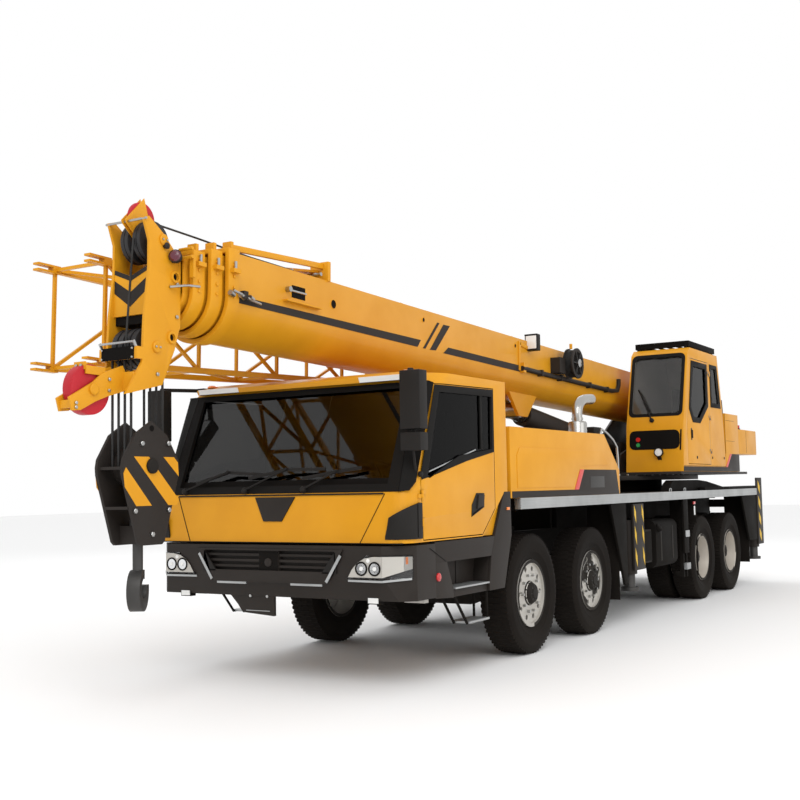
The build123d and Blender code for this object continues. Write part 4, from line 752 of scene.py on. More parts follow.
@dataclass
class BoomHead:
    """Paint, fasteners and lamps of the boom's head, in boom coordinates."""

    face: float = 10.808
    film: float = 0.002
    cheek: float = 0.175
    lamp: tuple[float, float, float] = (10.6, 0.215, 0.235)
    lamp_axis: tuple[float, float, float] = (0.86, 0.5, 0.05)

    def build(self) -> None:
        """Build the head's pieces on the fourth section."""
        into_boom = BOOM_FRAME.inverted()

        def pick(low: Vector, high: Vector) -> int:
            """Red for the guide and nose sheaves, dark for the others."""
            level = (into_boom @ ((low + high) / 2)).z
            return 1 if 0.45 < level < 0.58 or -0.95 < level < -0.6 else 0

        dress_node("head_sheaves", SHEAVE, 0.004, choose=pick, others=(SIGN_RED,))
        marks = Mesher(BOOM_FRAME).use(CHARCOAL)
        x = self.face
        marks.prism([(-0.152, 0.064), (0, -0.029), (0.152, 0.064), (0.152, -0.025), (0, -0.131),
            (-0.152, -0.025)], "X", x, x + self.film)
        marks.prism([(-0.152, 0.1395), (0, 0.0835), (0.152, 0.1395), (0.152, 0.108), (0, 0.048),
            (-0.152, 0.108)], "X", x, x + self.film)
        marks.use(BLACK).box((10.914, -0.152, -0.512), (10.918, 0.152, -0.426))
        marks.box((10.893, -0.154, -0.43), (10.917, 0.154, -0.425))
        marks.box((10.6, -0.15, -0.25), (10.792, 0.15, -0.192))
        marks.use(ALUMINIUM).rod((10.93, -0.16, -0.398), (10.93, 0.16, -0.398), 0.008, 10)
        for y in (-0.158, 0.158):
            marks.bar((10.905, y, -0.43), (10.93, y, -0.39), 0.008, 0.02)
        marks.done("head_paint", "boom_4")
        iron = Mesher(BOOM_FRAME).use(STEEL)
        out, nose = self.cheek, 0.064
        boss = [(0.04, 0), (0.04, 0.01), (0.034, 0.016), (0, 0.016)]
        for x, z in ((10.68, 0.34), (10.73, -0.414)):
            iron.use(YELLOW).lathe((x, out, z), ALONG_Y, boss, 24)
            iron.use(STEEL).bolts([(x + a, out + 0.016, z) for a in (-0.02, 0.02)], ALONG_Y, 0.008, 0.008)
        for x, z in ((10.56, 0.1), (10.585, -0.33)):
            iron.use(YELLOW).ring((x, out, z), ALONG_Y, [(0.027, 0), (0.046, 0), (0.043, 0.012),
                (0.027, 0.012)], 24)
            iron.use(BLACK).lathe((x, out - 0.02, z), ALONG_Y, [(0.0265, 0), (0.0265, 0.012), (0, 0.012)], 20)
        boss = [(0.038, 0), (0.038, 0.014), (0.03, 0.02), (0, 0.02)]
        iron.use(YELLOW).lathe((11.185, nose, -0.738), ALONG_Y, boss, 24)
        heads = [(11.33, nose, -0.838), (11.33, nose, -0.866), (11.05, nose, -0.66), (11.05, nose, -0.735)]
        iron.use(STEEL).bolts(heads, ALONG_Y, 0.012, 0.012).mirrored()
        iron.bolts([(10.918, y, z) for y in (-0.14, 0.14) for z in (-0.44, -0.5)], (1, 0, 0), 0.008, 0.01)
        iron.use(ROPE).rod((10.829, 0.038, 0.34), (10.873, 0.029, -0.42), 0.008, 8).use(STEEL)
        iron.rod((10.862, -0.19, 0.455), (10.862, 0.19, 0.455), 0.0085, 12)
        iron.done("head_fasteners", "boom_4")
        arms = Mesher(BOOM_FRAME).use(YELLOW)
        arms.box((11.236, -0.05, -0.612), (11.25, 0.05, -0.56))
        for low, high in ((0.047, 0.06), (-0.06, -0.047)):
            arms.box((11.08, low, -0.64), (11.245, high, -0.585))
        arms.use(STEEL).bolts([(11.25, -0.022, -0.586), (11.25, 0.022, -0.586)], (1, 0, 0), 0.011, 0.012)
        arms.done("nose_rope_keeper", "boom_4", 0.002)
        lamp = Mesher(BOOM_FRAME).use(CHARCOAL)
        lamp.lathe(self.lamp, self.lamp_axis, [(0.03, -0.055), (0.042, -0.03), (0.047, 0.012),
            (0.044, 0.02), (0.04, 0.02), (0, 0.014)], 24)
        lamp.bar((10.585, 0.17, 0.2), (10.585, 0.21, 0.225), 0.02, 0.012)
        lamp.use(DARK_LENS).lathe(self.lamp, self.lamp_axis,
            [(0, 0.012), (0.041, 0.012), (0.041, 0.019), (0.03, 0.03), (0, 0.034)], 24)
        lamp.use(CHARCOAL).lathe((10.665, 0.2, 0.3), ALONG_Y,
            [(0.02, -0.025), (0.024, 0), (0.012, 0.012), (0, 0.012)], 16)
        lamp.done("head_lamp", "boom_4")


@dataclass
class BoomPaint:
    """Stripes, lugs, hoses and lamps along the boom's base, in boom coordinates."""

    side: float = 0.3005
    film: float = 0.0015
    reel_place: tuple[float, float, float] = (4.06, 0.5, 0.197)

    def stripes(self) -> None:
        """The dark stripes on both sides, as thin films."""
        mesher = Mesher(BOOM_FRAME).use(CHARCOAL)
        bands = (
            [(10.036, 0.043), (7.381, 0.06), (7.442, -0.012), (10.08, -0.01)],
            [(7.068, 0.27), (7.024, 0.27), (7.299, -0.012), (7.343, -0.012)],
            [(6.947, 0.267), (6.818, 0.27), (7.098, -0.003), (7.215, -0.012)],
            [(6.851, 0.055), (5.225, 0.057), (5.225, -0.012), (6.952, -0.012)],
        )
        for y in (self.side, -self.side - self.film):
            for band in bands:
                mesher.prism(band, "Y", y, y + self.film)
        mesher.done("boom_stripes", "boom")

    def fittings(self) -> None:
        """Slot and holes drawn as black sheets of painted shade, lifting lugs, pipe and work lamp."""
        # The slot's black sheet is painted shade of the opening.
        mesher = Mesher(BOOM_FRAME).use(BLACK).box((9.203, 0.3, 0.138), (9.378, 0.303, 0.236))
        mesher.use(YELLOW).box((9.025, 0.299, 0.092), (9.489, 0.345, 0.104))
        mesher.box((5.16, 0.299, -0.02), (5.22, 0.345, 0.09))
        mesher.use(STEEL).rod((9.2, 0.306, 0.19), (9.44, 0.306, 0.19), 0.01, 10)
        mesher.rod((9.44, 0.3, 0.19), (9.44, 0.34, 0.19), 0.022, 12)
        # Each hole is a black disc of painted shade inside a yellow lip.
        for x, z, hole in ((8.809, 0.173, 0.036), (7.331, 0.258, 0.02), (5.344, 0.262, 0.02)):
            lip = [(hole, 0), (hole + 0.006, 0), (hole + 0.004, 0.004), (hole, 0.004)]
            mesher.use(YELLOW).ring((x, 0.3, z), ALONG_Y, lip, 24)
            mesher.use(BLACK).lathe((x, 0.3, z), ALONG_Y, [(hole, 0), (hole, 0.002), (0, 0.002)], 24)
        mesher.mirrored()
        pipe = [(5.225, 0.325, 0.025), (4.6, 0.33, 0.02), (3.6, 0.33, 0.02), (2.5, 0.33, 0.022),
            (2.3, 0.33, 0.045), (2.245, 0.33, 0.12), (2.24, 0.33, 0.2)]
        mesher.use(CHARCOAL).tube(pipe, 0.028, 14)
        for x in (4.75, 4.2, 3.3, 2.7):
            mesher.use(CHARCOAL).box((x - 0.02, 0.298, -0.015), (x + 0.02, 0.362, 0.055))
        mesher.done("boom_fittings_side", "boom")
        lamp = Mesher(BOOM_FRAME).use(PLASTIC).box((4.95, 0.27, 0.245), (5.03, 0.425, 0.43))
        lamp.box((5.028, 0.27, 0.245), (5.04, 0.425, 0.262)).box((5.028, 0.27, 0.413), (5.04, 0.425, 0.43))
        lamp.use(YELLOW).box((5.215, 0.298, 0), (5.265, 0.312, 0.325))
        lamp.bar((5.24, 0.306, 0.3), (4.96, 0.306, 0.27), 0.012, 0.04)
        lamp.use(WHITE).box((5.026, 0.284, 0.264), (5.036, 0.411, 0.411))
        lamp.done("boom_work_lamp", "boom", 0.006)

    def reel(self) -> None:
        """The cable reel with its drum, spokes, hub and motor box, and the guide rail on top."""
        mesher = Mesher(BOOM_FRAME)
        x, out, z = self.reel_place
        mesher.use(CHARCOAL).ring((x, out, z), ALONG_Y, [(0.135, -0.012), (0.18, -0.012), (0.18, 0.004),
            (0.162, 0.01), (0.135, 0.004)], 44)
        mesher.ring((x, out, z), ALONG_Y, [(0.135, -0.115), (0.18, -0.115), (0.18, -0.103),
            (0.135, -0.103)], 44)
        mesher.use(BLACK).lathe((x, 0.39, z), ALONG_Y, [(0, 0), (0.158, 0), (0.158, 0.098), (0.137, 0.098),
            (0.137, 0.109), (0, 0.109)], 40)
        for n in range(9):
            mesher.use(ROPE).ring((x, 0.394 + 0.01 * n, z), ALONG_Y,
                [(0.157, 0), (0.164, 0.003), (0.164, 0.007), (0.157, 0.01)], 40)
        mesher.use(STEEL).lathe((x, out, z), ALONG_Y, [(0.05, 0), (0.05, 0.03), (0.035, 0.04), (0, 0.04)], 24)
        for n in range(6):
            turn = n * math.pi / 3
            end = (x + 0.15 * math.cos(turn), out + 0.004, z + 0.15 * math.sin(turn))
            mesher.use(FORGED).bar((x, out + 0.004, z), end, 0.022, 0.008)
        mesher.use(CHARCOAL).box((4.00, 0.298, 0.13), (4.12, 0.392, 0.27))
        mesher.box((4.24, 0.298, 0.06), (4.4, 0.42, 0.24))
        mesher.rod((4.12, 0.35, 0.16), (4.25, 0.35, 0.15), 0.035, 16)
        mesher.use(YELLOW).rod((4.09, 0.43, 0.37), (4.09, 0.43, 0.43), 0.018, 12)
        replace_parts(mesher.done("cable_reel", "boom"), "boom_fittings")
        rail = Mesher(BOOM_FRAME).use(YELLOW)
        rail.bar((10.1, 0.25, 0.4), (8.9, 0.25, 0.48), 0.03, 0.045)
        rail.box((8.86, 0.13, 0.352), (8.9, 0.31, 0.515))
        rail.box((10.04, 0.235, 0.352), (10.1, 0.265, 0.42))
        rail.bar((9.45, 0.12, 0.375), (8.9, 0.16, 0.44), 0.12, 0.02)
        rail.use(ROPE).rod((10.09, 0.275, 0.365), (9.33, 0.275, 0.36), 0.009, 8)
        rail.use(STEEL).rod((8.98, 0.1, 0.395), (8.98, 0.3, 0.395), 0.016, 12)
        rail.rod((9.3, 0.1, 0.375), (9.3, 0.25, 0.375), 0.012, 12)
        rail.done("boom_top_rail", "boom", 0.002)

    def collars(self) -> None:
        """Bolts, tabs and the cable across the sections' collars."""
        fronts = (("boom", 10.16, 0.322), ("boom_2", 10.31, 0.288), ("boom_3", 10.46, 0.254))
        for body, front, half in fronts:
            mesher = Mesher(BOOM_FRAME).use(YELLOW)
            mesher.bolts([(front - 0.06, half, z) for z in (0.25, 0.17, 0.09, 0.02)], ALONG_Y, 0.013, 0.009)
            top = 0.055 + half
            mesher.box((front - 0.075, half - 0.1, top - 0.004), (front - 0.045, half - 0.02, top + 0.055))
            mesher.box((front - 0.1, half - 0.004, 0.195), (front - 0.02, half + 0.035, 0.225))
            pin = (front - 0.06, half + 0.016)
            mesher.use(STEEL).rod((*pin, 0.225), (*pin, 0.28), 0.011, 10)
            mesher.mirrored().done(f"collar_bolts_{body}", body)
        cable = Mesher(BOOM_FRAME).use(STEEL)
        cable.tube([(10.14, 0.35, 0.06), (10.05, 0.352, 0.045), (9.93, 0.345, 0.02), (9.8, 0.33, 0.012)],
            0.01, 8)
        for x in (10.12, 10.0, 9.9):
            cable.rod((x, 0.335, 0.03), (x + 0.05, 0.345, 0.04), 0.02, 12)
        cable.use(CHARCOAL).box((9.98, 0.322, 0.02), (10.03, 0.36, 0.075))
        cable.done("collar_cable", "boom")
        head = Mesher(BOOM_FRAME).use(YELLOW)
        for z in (0.3, 0.24):
            head.rod((10.52, 0.175, z), (10.52, 0.3, z), 0.012, 10)
        head.box((10.475, 0.255, 0.1), (10.5, 0.29, 0.25))
        head.use(STEEL).tube([(10.62, 0.185, 0.02), (10.5, 0.24, 0.045), (10.4, 0.262, 0.05)], 0.009, 8)
        head.use(STEEL).bolts([(10.54, 0.176, 0.05), (10.54, 0.176, -0.18), (10.72, 0.176, -0.6)],
            (0, 1, 0), 0.014, 0.012)
        head.done("head_side_fittings", "boom_4")

    def ropes(self) -> None:
        """The hoist rope over the boom's top and the guide sheave."""
        mesher = Mesher(BOOM_FRAME).use(ROPE)
        mesher.tube([(10.755, 0.05, 0.486), (10.58, 0.05, 0.479), (10.21, 0.05, 0.47), (9.58, 0.05, 0.447),
            (9.05, 0.05, 0.43), (7.5, 0.03, 0.4)], 0.008, 8)
        mesher.done("hoist_rope_head", "boom_4")
        base = Mesher(BOOM_FRAME).use(ROPE)
        base.tube([(7.6, 0.03, 0.4), (4.0, 0.03, 0.395), (0.2, 0.03, 0.4), (-0.3, 0.03, 0.37)], 0.008, 8)
        for x in (7.4, 5.0, 2.6):
            base.use(YELLOW)
            for low, high in ((-0.1, -0.08), (0.08, 0.1)):
                base.box((x - 0.02, low, 0.35), (x + 0.02, high, 0.43))
            base.use(STEEL).rod((x, -0.1, 0.375), (x, 0.1, 0.375), 0.012, 10)
        base.done("hoist_rope_base", "boom")

    def build(self) -> None:
        """Build every group of boom details."""
        self.stripes()
        self.fittings()
        self.reel()
        self.collars()
        self.ropes()


@dataclass
class HookBlock:
    """Warning bands and fasteners of the hook block, hanging plumb."""

    plate: float = 0.13
    film: float = 0.0015
    hang_x: float = 3.787

    def build(self) -> None:
        """Build the bands on both plates and the bolts through them."""
        mesher = Mesher()
        yellow = (
            [(0.24, 1.69), (0.000, 1.432), (0.145, 1.432), (0.25, 1.56), (0.262, 1.65)],
            [(0.167, 1.762), (0.028, 1.762), (-0.262, 1.47), (-0.245, 1.432), (-0.16, 1.432)],
            [(-0.113, 1.762), (-0.215, 1.762), (-0.255, 1.725), (-0.262, 1.63)],
        )
        mesher.use(YELLOW)
        for band in yellow:
            outline = [(self.hang_x + a, z) for a, z in band]
            mesher.prism(outline, "Y", self.plate, self.plate + self.film)
        bolts = ((0.096, 1.85), (-0.156, 1.856), (0.16, 1.4), (-0.16, 1.4), (0, 1.24))
        heads = [(self.hang_x + a, self.plate, z) for a, z in bolts]
        mesher.use(STEEL).bolts(heads, ALONG_Y, 0.018, 0.016)
        boss = [(0.052, 0), (0.052, 0.016), (0.042, 0.024), (0, 0.024)]
        mesher.use(IRON).lathe((self.hang_x, self.plate, 1.7), ALONG_Y, boss, 28)
        # The hole is a black disc of painted shade on the plate.
        hole = [(0.02, 0), (0.02, 0.003), (0, 0.003)]
        mesher.use(BLACK).lathe((self.hang_x, self.plate, 1.955), ALONG_Y, hole, 16)
        mesher.mirrored().done("hook_block_paint", "hook_block")


@dataclass
class CarrierCab:
    """Trim round the driver's cab: screen surround, wipers, seams, intakes, handles and visor lights."""

    side: float = 1.2495
    mirror_levels: tuple[Point, Point] = ((1.955, 2.395), (1.795, 1.93))

    def screen(self) -> None:
        """The black surround, the wipers and the two bright strips inside the glass."""
        mesher = Mesher()
        lift = (0.9217 * 0.004, 0, 0.388 * 0.004)
        inner = [(-1.04, 1.552), (1.04, 1.552), (1.04, 2.3), (-1.04, 2.3)]
        reveal = [(-1.0595, 1.531), (1.0595, 1.531), (1.0595, 2.3195), (-1.0595, 2.3195)]
        outer = [(-1.15, 1.492), (1.15, 1.492), (1.11, 2.346), (-1.11, 2.346)]
        mesher.use(SEAL).frame([screen_point(*p, 0.0005) for p in outer],
            [screen_point(*p, 0.0005) for p in inner], lift)
        mesher.frame([screen_point(*p) for p in reveal], [screen_point(*p) for p in inner], (-0.05, 0, 0))
        mesher.use(BLACK).plate([screen_point(y, z, -0.03)
            for y, z in ((-1.039, 1.54), (1.039, 1.54), (1.039, 1.61), (-1.039, 1.61))], (0.003, 0, 0))
        for sign in (-1, 1):
            low = [(2.262, sign * 1.15, 1.492), (2.225, sign * 1.222, 1.5), (2.17, sign * 1.2465, 1.56),
                (1.868, sign * 1.2445, 2.33), (1.9, sign * 1.215, 2.345), (1.902, sign * 1.11, 2.346)]
            mesher.use(SEAL).plate(low, (0.006, sign * 0.006, 0.002))
        mesher.done("screen_surround", "carrier")
        wipers = Mesher().use(PLASTIC)
        sets = (
            ((-0.954, 1.512), (-0.52, 1.661), (-0.85, 1.575), (-0.155, 1.64)),
            ((-0.308, 1.512), (0.077, 1.671), (-0.3, 1.61), (0.45, 1.672)),
            ((0.279, 1.512), (0.571, 1.644), (0.25, 1.6), (0.788, 1.672)),
        )
        for foot, elbow, tip_a, tip_b in sets:
            a, b = screen_point(*foot, 0.03), screen_point(*elbow, 0.042)
            wipers.lathe(screen_point(*foot, 0), (0.92, 0, 0.39),
                [(0.026, 0), (0.026, 0.03), (0.018, 0.042), (0, 0.042)], 16)
            wipers.bar(a, b, 0.02, 0.012)
            wipers.bar(screen_point(*tip_a, 0.022), screen_point(*elbow, 0.026), 0.012, 0.026)
            wipers.bar(screen_point(*elbow, 0.026), screen_point(*tip_b, 0.022), 0.012, 0.026)
            wipers.rod(screen_point(*elbow, 0.02), screen_point(*elbow, 0.052), 0.012, 10)
        wipers.done("wipers", "carrier", 0.002)
        strips = Mesher().use(ALUMINIUM)
        for y in (-0.17, 0.29):
            strips.bar(screen_point(y, 1.63, -0.055), screen_point(y, 2.31, -0.055), 0.008, 0.006)
        strips.done("screen_strips", "carrier")

    def front(self) -> None:
        """Seams, blank badge plate and visor lights on the front."""
        mesher = Mesher().use(SEAL)
        for sign in (-1, 1):
            mesher.bar(front_point(sign * 1.03, 1.48, 0), front_point(sign * 0.845, 1.112, 0), 0.008, 0.006)
        mesher.box((2.262, -1.2, 1.104), (2.334, 1.2, 1.112))
        mesher.use(CHARCOAL).plate([front_point(y, z, 0.001)
            for y, z in ((-0.199, 1.462), (0.199, 1.462), (0.0905, 1.272), (-0.0905, 1.272))],
            (0.01, 0, 0.002))
        mesher.use(PLASTIC).box((2.25, -1.02, 1.474), (2.274, 1.02, 1.486))
        mesher.done("cab_front_trim", "carrier", 0.0015)
        lights = Mesher()
        for low, high in ((0.62, 1.06), (-1.06, -0.62)):
            slope = [(1.962, 2.362), (1.981, 2.402), (1.977, 2.404), (1.958, 2.364)]
            lights.use(WHITE).prism(slope, "Y", low, high)
            lights.use(SEAL).prism([(1.958, 2.358), (1.962, 2.362), (1.955, 2.364), (1.952, 2.36)], "Y",
                low, high)
        lights.use(AMBER)
        for y in (-1.0, 1.0):
            lights.lathe((1.86, y, 2.425), ALONG_Z, [(0.045, 0), (0.045, 0.012), (0.03, 0.022), (0, 0.024)],
                20)
        lights.done("visor_lights", "carrier")

    def corner(self) -> None:
        """The black air guides that wrap the cab's front corners."""
        mesher = Mesher().use(PLASTIC)
        steps = [(x, 1.25, top, (0, 1)) for x, top in ((2.108, 1.404), (2.14, 1.408), (2.18, 1.4))]
        for n in range(1, 8):
            turn = math.radians(90 - 90 * n / 7)
            slope = 1.4 - 0.1 * (n / 7) ** 1.5
            along, across = math.cos(turn), math.sin(turn)
            steps.append((2.18 + 0.15 * along - 0.012, 1.1 + 0.15 * across, slope, (along, across)))
        steps += [(2.318, 1.085, 1.22, (1, 0)), (2.322, 1.071, 1.16, (1, 0))]
        sunk, lift, foot = -0.002, 0.016, 1.138
        rings = []
        for x, y, top, (nx, ny) in steps:
            corners = ((sunk, foot), (lift, foot), (lift, top), (sunk, top))
            rings.append([(x + nx * out, y + ny * out, z) for out, z in corners])
        mesher.skin(rings)
        mesher.use(BLACK).box((2.176, 1.262, 1.15), (2.182, 1.27, 1.395))
        mesher.mirrored().done("corner_air_guides", "carrier", 0.004)

    def doors(self) -> None:
        """Window surrounds, handles and locks, each on its own door."""
        for side, sign in SIDES:
            mesher = Mesher(CARRIER_FRAME @ Matrix.Scale(sign, 4, ALONG_Y))
            outer = [(0.868, 1.808), (1.35, 1.728), (2.088, 1.579), (2.094, 1.64), (1.862, 2.318),
                (0.86, 2.338)]
            inner = [(0.902, 1.834), (1.482, 1.77), (1.952, 1.604), (2.000, 1.612), (1.794, 2.262),
                (0.892, 2.276)]
            mesher.use(SEAL).side_frame(outer, inner, self.side, 0.004)
            mesher.box((1.065, 1.236, 1.83), (1.1, 1.249, 2.28))
            mesher.use(ALUMINIUM).bar((1.969, 1.244, 1.64), (1.19, 1.244, 1.822), 0.01, 0.01)
            mesher.use(PLASTIC).prism([(1.205, 1.466), (1.065, 1.464), (1.071, 1.348), (1.3, 1.273),
                (1.29, 1.37)], "Y", self.side, 1.254)
            mesher.use(CHARCOAL).prism([(1.185, 1.452), (1.085, 1.45), (1.105, 1.36), (1.215, 1.335)], "Y",
                1.254, 1.268)
            mesher.use(BLACK).prism([(1.095, 1.35), (1.098, 1.362), (1.282, 1.3), (1.288, 1.282)], "Y",
                1.254, 1.257)
            mesher.done(f"door_trim_{side}", f"door_{side}", 0.002)

    def sides(self) -> None:
        """The dark skirt below each door, its recess and steps, markers and knobs."""
        mesher = Mesher().use(CHARCOAL)
        mesher.prism([(1.905, 1.1), (0.878, 1.1), (0.955, 0.94), (1.905, 0.94)], "Y", 1.224, self.side)
        mesher.prism([(1.905, 0.941), (1.722, 0.941), (1.625, 0.72), (1.625, 0.655), (1.905, 0.672)], "Y",
            1.224, self.side)
        mesher.prism([(0.565, 1.47), (0.69, 1.47), (0.885, 1.099), (0.956, 0.941), (1.000, 0.72),
            (1.000, 0.655), (0.72, 0.655), (0.56, 1.1)], "Y", 1.224, 1.2505)
        mesher.prism([(1.721, 0.941), (0.956, 0.941), (1.000, 0.72), (1.624, 0.72)], "Y", 1.08, 1.092)
        mesher.box((1.001, 1.081, 0.655), (1.624, 1.225, 0.719))
        mesher.use(PLASTIC).box((0.958, 1.092, 0.938), (1.722, 1.224, 0.945))
        mesher.prism([(1.3, 0.936), (1.306, 0.936), (1.306, 0.722), (1.3, 0.722)], "Y", 1.091, 1.098)
        for (low_x, low_z), (high_x, high_z) in (((1.000, 0.719), (0.956, 0.941)),
                ((1.622, 0.719), (1.72, 0.941))):
            wall = [(low_x, 1.08, low_z), (high_x, 1.08, high_z), (high_x, 1.226, high_z),
                (low_x, 1.226, low_z)]
            mesher.use(CHARCOAL).plate(wall, (0.006, 0, 0))
        mesher.use(SEAL).bar((1.99, 1.2512, 1.06), (1.74, 1.2502, 0.945), 0.006, 0.004)
        mesher.use(RED_LENS).lathe((1.862, 1.249, 0.832), ALONG_Y,
            [(0.034, 0), (0.032, 0.01), (0.02, 0.016), (0, 0.017)], 24)
        mesher.use(AMBER).box((0.6, 1.2495, 1.312), (0.65, 1.259, 1.336))
        mesher.use(ALUMINIUM).box((1.01, 1.095, 0.718), (1.6, 1.254, 0.732))
        mesher.box((0.99, 1.06, 0.42), (1.34, 1.235, 0.438))
        mesher.use(BLACK)
        for y in (1.09, 1.21):
            mesher.tube([(1.56, y, 0.67), (1.345, y, 0.425), (0.99, y, 0.425), (0.99, y, 0.67)], 0.012, 10)
        mesher.use(PLASTIC).lathe((2.12, 1.249, 1.62), ALONG_Y,
            [(0.022, 0), (0.022, 0.02), (0.012, 0.03), (0, 0.03)], 16)
        mesher.mirrored().done("cab_side_trim", "carrier", 0.0015)

    def mirrors(self) -> None:
        """Tall and low mirror heads with their glass, arms and brackets."""
        mesher = Mesher().use(PLASTIC)
        for low, high in self.mirror_levels:
            mesher.box((2.175, 1.19, low), (2.29, 1.365, high))
        mesher.rod((2.235, 1.278, 1.925), (2.235, 1.278, 1.96), 0.018, 12)
        mesher.bar((1.9, 1.08, 2.405), (2.24, 1.26, 2.4), 0.045, 0.03)
        mesher.bar((2.15, 1.236, 1.64), (2.22, 1.262, 1.8), 0.02, 0.016)
        mesher.box((1.85, 1.04, 2.38), (1.93, 1.12, 2.425))
        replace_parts(mesher.mirrored().done("cab_mirror_heads", "carrier", 0.016), "cab_mirrors")
        glass = Mesher().use(MIRROR)
        for low, high in self.mirror_levels:
            glass.box((2.1725, 1.208, low + 0.022), (2.176, 1.347, high - 0.022))
        glass.mirrored().done("mirror_glass", "carrier")

    def build(self) -> None:
        """Build every group of the cab's trim."""
        self.screen()
        self.front()
        self.corner()
        self.doors()
        self.sides()
        self.mirrors()


@dataclass
class Bumper:
    """Head lamps, grille trim, fog lamps and the silver strip of the bumper."""

    front: float = 2.37

    def lamp_units(self) -> None:
        """A silver bowl, twin reflectors and an amber corner inside each lamp."""
        mesher = Mesher()
        x = self.front + 0.0085
        bowl = [(0.765, 0.86), (0.8, 0.918), (0.85, 0.968), (0.91, 1.000), (0.99, 1.014), (1.066, 1.014),
            (1.066, 0.86)]
        mesher.use(SILVER).plate([(x, y, z) for y, z in bowl], (0.0015, 0, 0))
        z = 0.925
        for y in (0.885, 1.002):
            mesher.use(BLACK).ring((x + 0.0012, y, z), ALONG_X,
                [(0.04, 0), (0.054, 0), (0.052, 0.008), (0.041, 0.004)], 32)
            mesher.use(MIRROR).lathe((x + 0.0012, y, z), ALONG_X, [(0.041, 0), (0.041, 0.003), (0, 0.002)],
                32)
            mesher.use(WHITE).lathe((x + 0.004, y, z), ALONG_X, [(0.016, 0), (0.014, 0.006), (0, 0.01)], 20)
        side = [(x, 1.0665, 0.86), (2.2085, 1.2285, 0.92), (2.2085, 1.2285, 1.01), (x, 1.0665, 1.014)]
        mesher.use(SILVER).plate(side, (0.001, 0.001, 0))
        corner = [(2.33, 1.106, 0.95), (2.232, 1.204, 0.955), (2.232, 1.204, 1.008), (2.33, 1.106, 1.008)]
        mesher.use(AMBER).plate(corner, (0.0024, 0.0024, 0))
        mesher.use(WHITE).lathe((x + 0.001, 0.945, 0.984), ALONG_X,
            [(0.016, 0), (0.014, 0.004), (0, 0.005)], 20)
        mesher.mirrored().done("head_lamp_units", "carrier")

    def trim(self) -> None:
        """Frames, silver strip, fog lamps and the blank centre plate."""
        mesher = Mesher().use(CHARCOAL)
        x = self.front
        mesher.use(PLASTIC).plate([(x - 0.004, 0.65, 1.05), (x - 0.004, 0.52, 0.88),
            (x - 0.004, 0.66, 0.88)], (0.016, 0, 0))
        mesher.use(ALUMINIUM).bar((x + 0.014, 0.7, 1.02), (x + 0.014, 0.565, 0.815), 0.006, 0.024)
        mesher.bar((2.355, 0.75, 0.832), (2.374, 1.064, 0.832), 0.01, 0.016)
        mesher.bar((2.374, 1.064, 0.832), (2.214, 1.224, 0.846), 0.01, 0.016)
        mesher.box((2.362, 0.22, 0.782), (2.374, 0.52, 0.806))
        mesher.use(BLACK).box((2.23, 0.875, 0.655), (2.29, 0.985, 0.71))
        mesher.use(WHITE).box((2.288, 0.885, 0.662), (2.296, 0.975, 0.702))
        mesher.mirrored()
        outer = [(x, -0.72, 1.062), (x, 0.72, 1.062), (x, 0.56, 0.8), (x, -0.56, 0.8)]
        inner = [(x, -0.64, 1.048), (x, 0.64, 1.048), (x, 0.64, 0.892), (x, -0.64, 0.892)]
        mesher.use(CHARCOAL).frame(outer, inner, (0.012, 0, 0))
        mesher.use(BLACK).box((x - 0.01, -0.092, 0.89), (x - 0.004, 0.092, 1.04))
        mesher.use(CHARCOAL).lathe((x - 0.004, 0, 0.955), ALONG_X,
            [(0.034, 0), (0.034, 0.006), (0.028, 0.01), (0, 0.01)], 28)
        mesher.use(ALUMINIUM).box((2.272, -0.3, 0.56), (2.277, -0.06, 0.566))
        mesher.use(STEEL).bolts([(2.275, -0.25, 0.68), (2.275, -0.08, 0.68)], (1, 0, 0), 0.014, 0.012)
        mesher.done("bumper_trim", "carrier", 0.0015)
        fog = Mesher().use(SILVER)
        fog.plate([(1.9, 1.0, 0.64), (1.96, 1.0, 0.64), (1.96, 1.18, 0.64), (1.9, 1.18, 0.64)], (0, 0, 0.035))
        fog.mirrored().done("side_lower_lamps", "carrier", 0.002)

    def build(self) -> None:
        """Build the lamps and the trim."""
        self.lamp_units()
        self.trim()


